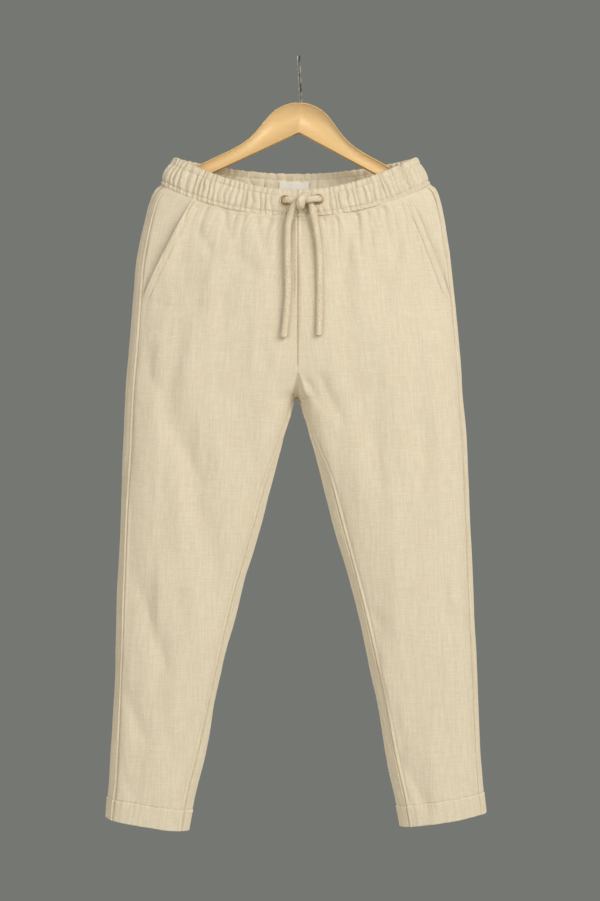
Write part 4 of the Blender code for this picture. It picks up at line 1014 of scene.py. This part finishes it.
def tube(name, path, radius, material, around=24, step=0.001, relief=None, roundEnds=0.0):
    # circles carried along the path; relief(angle, distance) is added to the radius
    path, run = evenPath(path, step)
    first, second = carriedFrames(path)
    angle = (np.arange(around) * 2 * math.pi / around)[None, :]
    reach = np.full((len(path), around), radius)
    if relief is not None:
        reach = reach + relief(angle, run[:, None])
    fromEnd = np.minimum(run, run[-1] - run)[:, None]
    reach = reach * np.sqrt(np.clip(1 - np.clip(1 - fromEnd / roundEnds, 0, 1) ** 2, 0.12, 1))
    spoke = np.cos(angle)[..., None] * first[:, None, :] + np.sin(angle)[..., None] * second[:, None, :]
    points = path[:, None, :] + spoke * reach[..., None]
    quads = facingOut(points, spoke, gridQuads(len(path), around, closeColumns=True))
    uv = clothMap(angle * radius, run[:, None])
    return addMesh(name, points, quads, material, uv, endCaps(len(path), around)), path, run[-1]


drawstring = {
    "radius": 0.0046, "knotDrop": 0.2189, "plaits": 6, "plaitTurn": 0.022, "plaitDepth": 0.00045,
    "knotSwell": 0.0018, "knotReach": 0.009,                # the loop in front lies flatter and wider
    "knotAt": {"Left": 0.046, "Right": -1.0},               # distance along each strand; below 0 is none
    "surfaceY": -0.0455,
    # x, distance in front of the waistband, height above the knot
    "Left": mm([
        (-23.3, -1.4, 1.5), (-23.2, 1.4, 1.5), (-21.5, 5.6, 1.4), (-17.6, 8.2, 1), (-12, 8, -0.2),
        (-6.6, 6.8, -3.6), (-2.4, 8.6, -7.8), (-0.8, 14.8, -8.6), (-0.6, 20, -5.2), (-0.2, 21, -1.2),
        (2.2, 18.4, 2.6), (6, 12, 6.4), (10, 7, 6.8), (13.4, 4.8, 1), (15.6, 5.6, -11), (20, 7, -30),
        (24.5, 7.6, -57), (26.6, 7.6, -86), (27, 7.4, -130), (26.6, 7.2, -164), (25.8, 7, -196)]),
    "Right": mm([
        (26.2, -1.4, 3.3), (26.1, 1.4, 3.3), (24.6, 6.2, 3.1), (21.2, 10.6, 2.6), (15.8, 12.8, 1.8),
        (9.6, 13, 0.8), (3.6, 11.2, -0.4), (-3, 12.2, -1.8), (-8.4, 13.6, -5.6), (-12.4, 12.4, -12),
        (-15.2, 10, -20), (-17.6, 8, -30), (-19.4, 7.4, -45), (-19.7, 7.4, -86), (-19.2, 7.4, -130),
        (-21.2, 7.2, -160), (-25.4, 7, -199)]),
}


def plaited(knotAt):
    # two sets of helical plaits cross each other round the cord, which swells where it is knotted
    def relief(angle, run):
        d = drawstring
        turn = 2 * math.pi * run / d["plaitTurn"]
        one, two = (np.cos(d["plaits"] * (angle + turn * way)) for way in (-0.5, 0.5))
        lumps = (0.00025 * softNoise(run / 0.007, angle * 1.2, 55)
                 + 0.00012 * softNoise(run / 0.0016, angle * 4 / math.pi, 56))
        plaits = d["plaitDepth"] * (np.maximum(one, two) - 0.5)
        return plaits + lumps + d["knotSwell"] * bell(run - knotAt, d["knotReach"])
    return relief


for _, word in bothSides:
    d = drawstring
    route = [(x, d["surfaceY"] - ahead, height - d["knotDrop"]) for x, ahead, height in d[word]]
    piece, path, length = tube("drawstring" + word, roundedPath(route, 12), d["radius"], materials["cord"],
                               around=40, step=0.0008, relief=plaited(d["knotAt"][word]), roundEnds=0.0010)
    place(piece, "cord", "drawstring_" + word.lower())
    print("cord", word, round(float(length), 4))


def eyelet(word, x, drop):
    # a half-round flange that goes on as a short sleeve through the hole
    e = eyelets
    turn = turnAt(x - garment["axisX"], e["bandHalfWidth"])
    heights = np.linspace(0, 1, 201)
    column = bandOutside(turn, heights)
    share = heights[np.argmin(np.abs(column[:, 2] + drop))]
    spot = (np.array([turn]), np.array([share]))
    centre, normal = bandOutside(*spot)[0], bandNormals(*spot)[0]
    first = unit(np.cross(normal, [0.0, 0.0, 1.0]))
    second = np.cross(normal, first)
    around = np.linspace(0, 2 * math.pi, 64, endpoint=False)[None, :]
    section = np.linspace(0, math.pi, 13)
    middle, half = (e["hole"] + e["flange"]) / 2, (e["flange"] - e["hole"]) / 2
    sleeve = e["hole"] + np.array([0, 0, 0.0005, 0.0005])
    reach = np.concatenate([middle + half * np.cos(section), sleeve])[:, None]
    lift = np.concatenate([e["height"] * np.sin(section) + 0.0002, [-0.0006, -0.0018, -0.0018, -0.0003]])
    spoke = np.cos(around)[..., None] * first + np.sin(around)[..., None] * second
    points = centre + spoke * reach[..., None] + normal * lift[:, None, None]
    quads = gridQuads(len(reach), 64, closeRows=True, closeColumns=True)
    quads = facingOut(points, points - (centre + spoke * middle), quads)
    piece = addMesh("eyelet" + word, points, quads, materials["brass"])
    return place(piece, "brass", "eyelet_" + word.lower())


for side, word in bothSides:
    eyelet(word, *eyelets["spots"][side])

# the label inside the centre back: x offset and heights on the band, gap to the casing behind it
labelTape = {"halfWidth": 0.0209, "aside": 0.0046, "low": 0.02, "high": 0.72,
             "gap": 0.0032, "thickness": 0.0005}


def tapeLabel():
    # the band's middle surface - normal * (wall + gap + a slight wave)
    t = labelTape
    half, aside = (t[key] / waistband["topHalfWidth"][right] * 2 / math.pi for key in ("halfWidth", "aside"))
    turn = mix(2 + aside - half, 2 + aside + half, np.linspace(0, 1, 61))[None, :]
    height = mix(t["low"], t["high"], np.linspace(0, 1, 31))[:, None]
    normal = bandNormals(turn, height)
    wave = 0.00035 * softNoise(turn * 40, height * 3, 91) + 0.0002 * np.cos(turn * 90)
    points = bandMiddle(turn, height) - normal * (waistband["wall"] + t["gap"] + wave)[..., None]
    uv = clothMap((turn - 2) * 0.28 + 0.1, height * 0.04)
    piece = addSheet("backLabel", points, -normal, materials["label"], uv, t["thickness"])
    return place(piece, "label", "back_label")


tapeLabel()
print("stage: cords, eyelets and label made")

hanger = {
    "tilt": math.radians(1.7), "halfLength": 0.2030, "thickness": 0.012, "bevel": 0.0017,
    "endRound": 0.014, "endSize": 0.30,
    # distance from the middle, drop of the top edge
    "top": mm([(0, 66.5), (8, 66.9), (16, 68.6), (24, 71.7), (32, 76), (40, 82.3), (48, 91.3), (56, 101.9),
               (64, 111.9), (72, 120.3), (80, 127.1), (96, 137.3), (119, 149.2), (145, 162.7), (175, 177.5),
               (210, 195.5)]),
    "bottomDrop": 0.1116, "bottomSlope": 0.505, "bottomRound": 0.0024,
    "wire": 0.0021, "bend": 0.0200,
    # the wire behind the bend, as distance behind and drop, and the drops of its tip in front
    "shank": [(0.0, 0.0845), (0.0, 0.0660), (0.0, 0.0560),
              (0.0015, 0.0500), (0.0065, 0.0441), (0.0130, 0.0351)],
    "tip": (0.0279, 0.0420),
    # how the hook stands in its swivel: turn, lean, x and height of its foot
    "hookTurn": math.radians(0.5), "hookLean": -0.0545, "hookFoot": (0.0006, -0.066),
}


def turned(first, second, angle):
    # two coordinates turned by an angle
    c, s = math.cos(angle), math.sin(angle)
    return first * c - second * s, first * s + second * c


def hangerWood():
    # rounded rectangles with bevelled corners, lofted from one end of the wood to the other
    h = hanger
    half, endRound = h["halfLength"], h["endRound"]
    nearEnd = half - endRound * (1 - np.sin(np.linspace(0, math.pi / 2, 12)))
    places = np.concatenate([np.linspace(0, 0.05, 40)[:-1],
                             np.linspace(0.05, half - endRound, 70)[:-1], nearEnd])
    places = np.concatenate([-places[:0:-1], places])
    reach = np.abs(places)
    fromEnd = np.clip((half - reach) / endRound, 0, 1)
    size = mix(h["endSize"], 1.0, np.sqrt(np.clip(1 - (1 - fromEnd) ** 2, 0, 1)))
    top = along(h["top"], 1, reach)
    past, near = np.maximum(reach - h["bottomRound"], 0), np.minimum(reach, h["bottomRound"])
    bottom = h["bottomDrop"] + h["bottomSlope"] * (past + near ** 2 / h["bottomRound"] / 2)
    middle, halfHeight = (top + bottom) / 2, (bottom - top) / 2 * size
    halfThick, bevel = h["thickness"] / 2 * size, h["bevel"] * size
    # one corner of the section, in bevels from the flat face and the flat top
    corner = [(0.0, 1.00), (0.0, 0.82), (0.03, 0.62), (0.14, 0.40),
              (0.40, 0.14), (0.62, 0.03), (0.82, 0.0), (1.00, 0.0)]
    section = [(ySign, zSign, a, b) for ySign, zSign in ((1, 1), (1, -1), (-1, -1), (-1, 1))
               for a, b in corner[::ySign * zSign]]
    lines = [(places, ySign * (halfThick - a * bevel), -middle + zSign * (halfHeight - b * bevel))
             for ySign, zSign, a, b in section]
    points = np.array(lines).transpose(2, 0, 1)
    centre = np.stack([places, np.zeros_like(places), -middle], axis=-1)[:, None, :]
    quads = facingOut(points, points - centre, gridQuads(len(places), len(section), closeColumns=True))
    points[..., 2], points[..., 0] = turned(points[..., 2], points[..., 0], h["tilt"])
    piece = addMesh("hangerWood", points, quads, materials["wood"], caps=endCaps(len(places), len(section)))
    # how much of the darker edge colour each point of the section takes, most on the bevel
    bevelTint = [bell(min(a, b) - 0.12, 0.30) if 0 < a < 1 and 0 < b < 1 else 0.0 for _, _, a, b in section]
    rim = piece.data.attributes.new("rim", "FLOAT", "POINT")
    rim.data.foreach_set("value", np.tile(bevelTint, len(places)).astype(np.float32))
    return place(piece, "wood", "hanger_wood")


def hangerHook():
    # round wire along an arc of one radius, with its shank behind and a short tip in front
    h = hanger
    radius = h["bend"]
    angles = np.radians(np.arange(-30, 181, 7.5))
    bend = np.stack([0 * angles, radius * np.cos(angles), h["wire"] - radius + radius * np.sin(angles)], axis=1)
    shank = [(0.0, behind, -drop) for behind, drop in h["shank"]]
    path = roundedPath(np.concatenate([shank, bend, [(0.0, -radius, -drop) for drop in h["tip"]]]), 8)
    path[:, 0], path[:, 1] = turned(path[:, 0], path[:, 1], h["hookTurn"])
    path[:, 0] += h["hookFoot"][0] + h["hookLean"] * (path[:, 2] - h["hookFoot"][1])
    piece = tube("hangerHook", path, h["wire"], materials["steel"], around=28, step=0.0008, roundEnds=0.0012)[0]
    return place(piece, "steel", "hanger_hook")


hangerWood()
hangerHook()
print("stage: hanger made")

# stitches: short rounded threads set along lines on the cloth; rings are share of the length, size
stitch = {"pitch": 0.0032, "length": 0.0024, "radius": 0.00032, "around": 6,
          "lift": 0.00012, "flatness": 0.85, "seam": 0.0040, "inseam": 0.0034,
          "rings": [(0.0, 0.25), (0.12, 0.72), (0.35, 1.0), (0.65, 1.0), (0.88, 0.72), (1.0, 0.25)]}


def stitchRow(name, lines):
    # centre + normal * lift * sin(pi share) + spokes * size; each stitch is a few rings along its line
    shares, sizes = np.array(stitch["rings"]).T
    around = stitch["around"]
    angle = np.arange(around) * 2 * math.pi / around
    unitQuads = gridQuads(len(shares), around, closeColumns=True)
    allPoints, allFaces, base = [], [], 0
    for points, normals in lines:
        run = runAlong(points)
        count = int(run[-1] / stitch["pitch"])
        where = ((np.arange(count) + 0.2) * stitch["pitch"])[:, None] + shares[None, :] * stitch["length"]
        centre, out = (np.stack([np.interp(where, run, values[:, k]) for k in range(3)], axis=-1)
                       for values in (points, normals))
        out = unit(out)
        aside = np.cross(unit(centre[:, -1:] - centre[:, :1]), out)
        lift = stitch["lift"] * np.sin(math.pi * shares)[None, :, None]
        spoke = (aside[:, :, None, :] * np.cos(angle)[None, None, :, None] * stitch["flatness"]
                 + out[:, :, None, :] * np.sin(angle)[None, None, :, None])
        ring = (centre + out * lift)[:, :, None, :] + spoke * (stitch["radius"] * sizes)[None, :, None, None]
        faces = (unitQuads[None] + (np.arange(count) * len(shares) * around)[:, None, None]).reshape(-1, 4)
        allPoints.append(ring.reshape(-1, 3))
        allFaces.append(facingOut(ring, spoke, faces) + base)
        base += ring.size // 3
    points = np.concatenate(allPoints)
    uv = np.zeros((len(points), 2))
    return place(addMesh(name, points, np.concatenate(allFaces), materials["thread"], uv), "cloth")


def panelLine(face, side, fromEdge, outer, rowFrom, rowTo):
    # a line at a set distance from one edge of a panel
    points, normal = panels[face, side]
    use = (rows["station"] >= rowFrom) & (rows["station"] <= rowTo) & outsideRows
    order = slice(None, None, -1 if outer else 1)
    block, blockNormal = points[use][:, order], normal[use][:, order]
    run = runAlong(block, 1)
    found = readRows(np.full((len(block), 1), fromEdge), run, np.arange(run.size).reshape(run.shape)).ravel()
    low = np.floor(found).astype(int)
    flat, flatNormal = block.reshape(-1, 3), blockNormal.reshape(-1, 3)
    return mix(flat[low], flat[np.minimum(low + 1, len(flat) - 1)], (found - low)[:, None]), flatNormal[low]


def hemLine(face, side):
    # the row of a panel that lies in the hem's groove
    points, normal = panels[face, side]
    row = int(np.argmin(np.abs(rows["station"] - rows["hemStart"]) + ~outsideRows))
    return points[row], normal[row]


def bandLine(height, start, end, inset=0.003):
    # a line round the band at one height
    turn = mix(start + inset, end - inset, np.linspace(0, 1, 1600))
    return bandOutside(turn, height), bandNormals(turn, height)


seamLines, hemLines, pocketLines = [], [], []
for side in (left, right):
    pocketLines.append(panelLine("front", side, cloth["pocketStitch"], True, 0.012, pocket["end"] - 0.04))
    seamLines.append(panelLine("back", side, stitch["seam"], True, 0.02, 1.995))
    seamLines.append(panelLine("front", side, stitch["inseam"], False, 1.05, 1.995))
    hemLines += [hemLine("front", side), hemLine("back", side)]
stitchRow("seamStitches", seamLines)
stitchRow("hemStitches", hemLines)
stitchRow("pocketStitches", pocketLines)
stitchRow("waistbandStitches", [bandLine(waistband[height], start, end)
                                for start, end in ((joinLeft, joinRight), (joinRight, joinLeft + 4))
                                for height in ("lowStitch", "highStitch")])
print("stage: stitches made")

# Studio. The backdrop is cool grey, and the light that it sends is a little warmer.
studio = {
    "floorDrop": 1.62, "floorX": 1.9, "floorY": (-2.0, 1.35), "floorColour": (0.60, 0.60, 0.58),
    "backdrop": (0.178, 0.185, 0.172), "ambient": (0.275, 0.250, 0.215),
    # name: place, target, size, power, colour
    "lights": {
        "keyLight": ((2.25, -2.7, 1.15), (0, 0, -0.58), (2.4, 2.4), 116, (1.0, 0.985, 0.96)),
        "fillLight": ((-1.7, -2.9, 0.1), (0, 0, -0.60), (2.2, 2.2), 42, (1.0, 0.985, 0.96)),
        "backLight": ((-1.2, 2.4, 0.6), (0, 0, -0.6), (2.0, 2.0), 60, (1.0, 0.98, 0.95)),
        "rimLight": ((1.8, 1.6, -0.2), (0, 0, -0.6), (1.4, 2.0), 24, (1.0, 0.98, 0.95))},
}
floorMaterial, floorTree, floorShader = startMaterial("paleFloor")
feed(floorTree, floorShader, {"Base Color": studio["floorColour"], "Roughness": 0.9})
(nearY, farY), sideX = studio["floorY"], studio["floorX"]
corners = ((-sideX, nearY), (sideX, nearY), (sideX, farY), (-sideX, farY))
floorCorners = [(x, y, -studio["floorDrop"]) for x, y in corners]
addMesh("floor", floorCorners, np.array([[0, 1, 2, 3]]), floorMaterial)

world = bpy.data.worlds.new("studio")
bpy.context.scene.world = world
world.use_nodes = True
worldTree = world.node_tree
seen = worldTree.nodes["Background"]
feed(worldTree, seen, {0: studio["backdrop"]})
sent = node(worldTree, "ShaderNodeBackground", {0: studio["ambient"]})
toCamera = node(worldTree, "ShaderNodeLightPath").outputs["Is Camera Ray"]
mixed = node(worldTree, "ShaderNodeMixShader", {0: toCamera, 1: sent.outputs[0], 2: seen.outputs[0]})
feed(worldTree, worldTree.nodes["World Output"], {0: mixed.outputs[0]})
bpy.context.scene.view_settings.view_transform = "Standard"     # the colours stay as mixed

for name, (position, target, size, power, colour) in studio["lights"].items():
    lamp = bpy.data.lights.new(name, "AREA")
    lamp.shape = "RECTANGLE"
    lamp.size, lamp.size_y = size
    lamp.energy = power
    lamp.color = colour
    holder = bpy.data.objects.new(name, lamp)
    holder.location = position
    holder.rotation_euler = (Vector(target) - Vector(position)).to_track_quat("-Z", "Y").to_euler()
    bpy.context.collection.objects.link(holder)
print("stage: studio made")
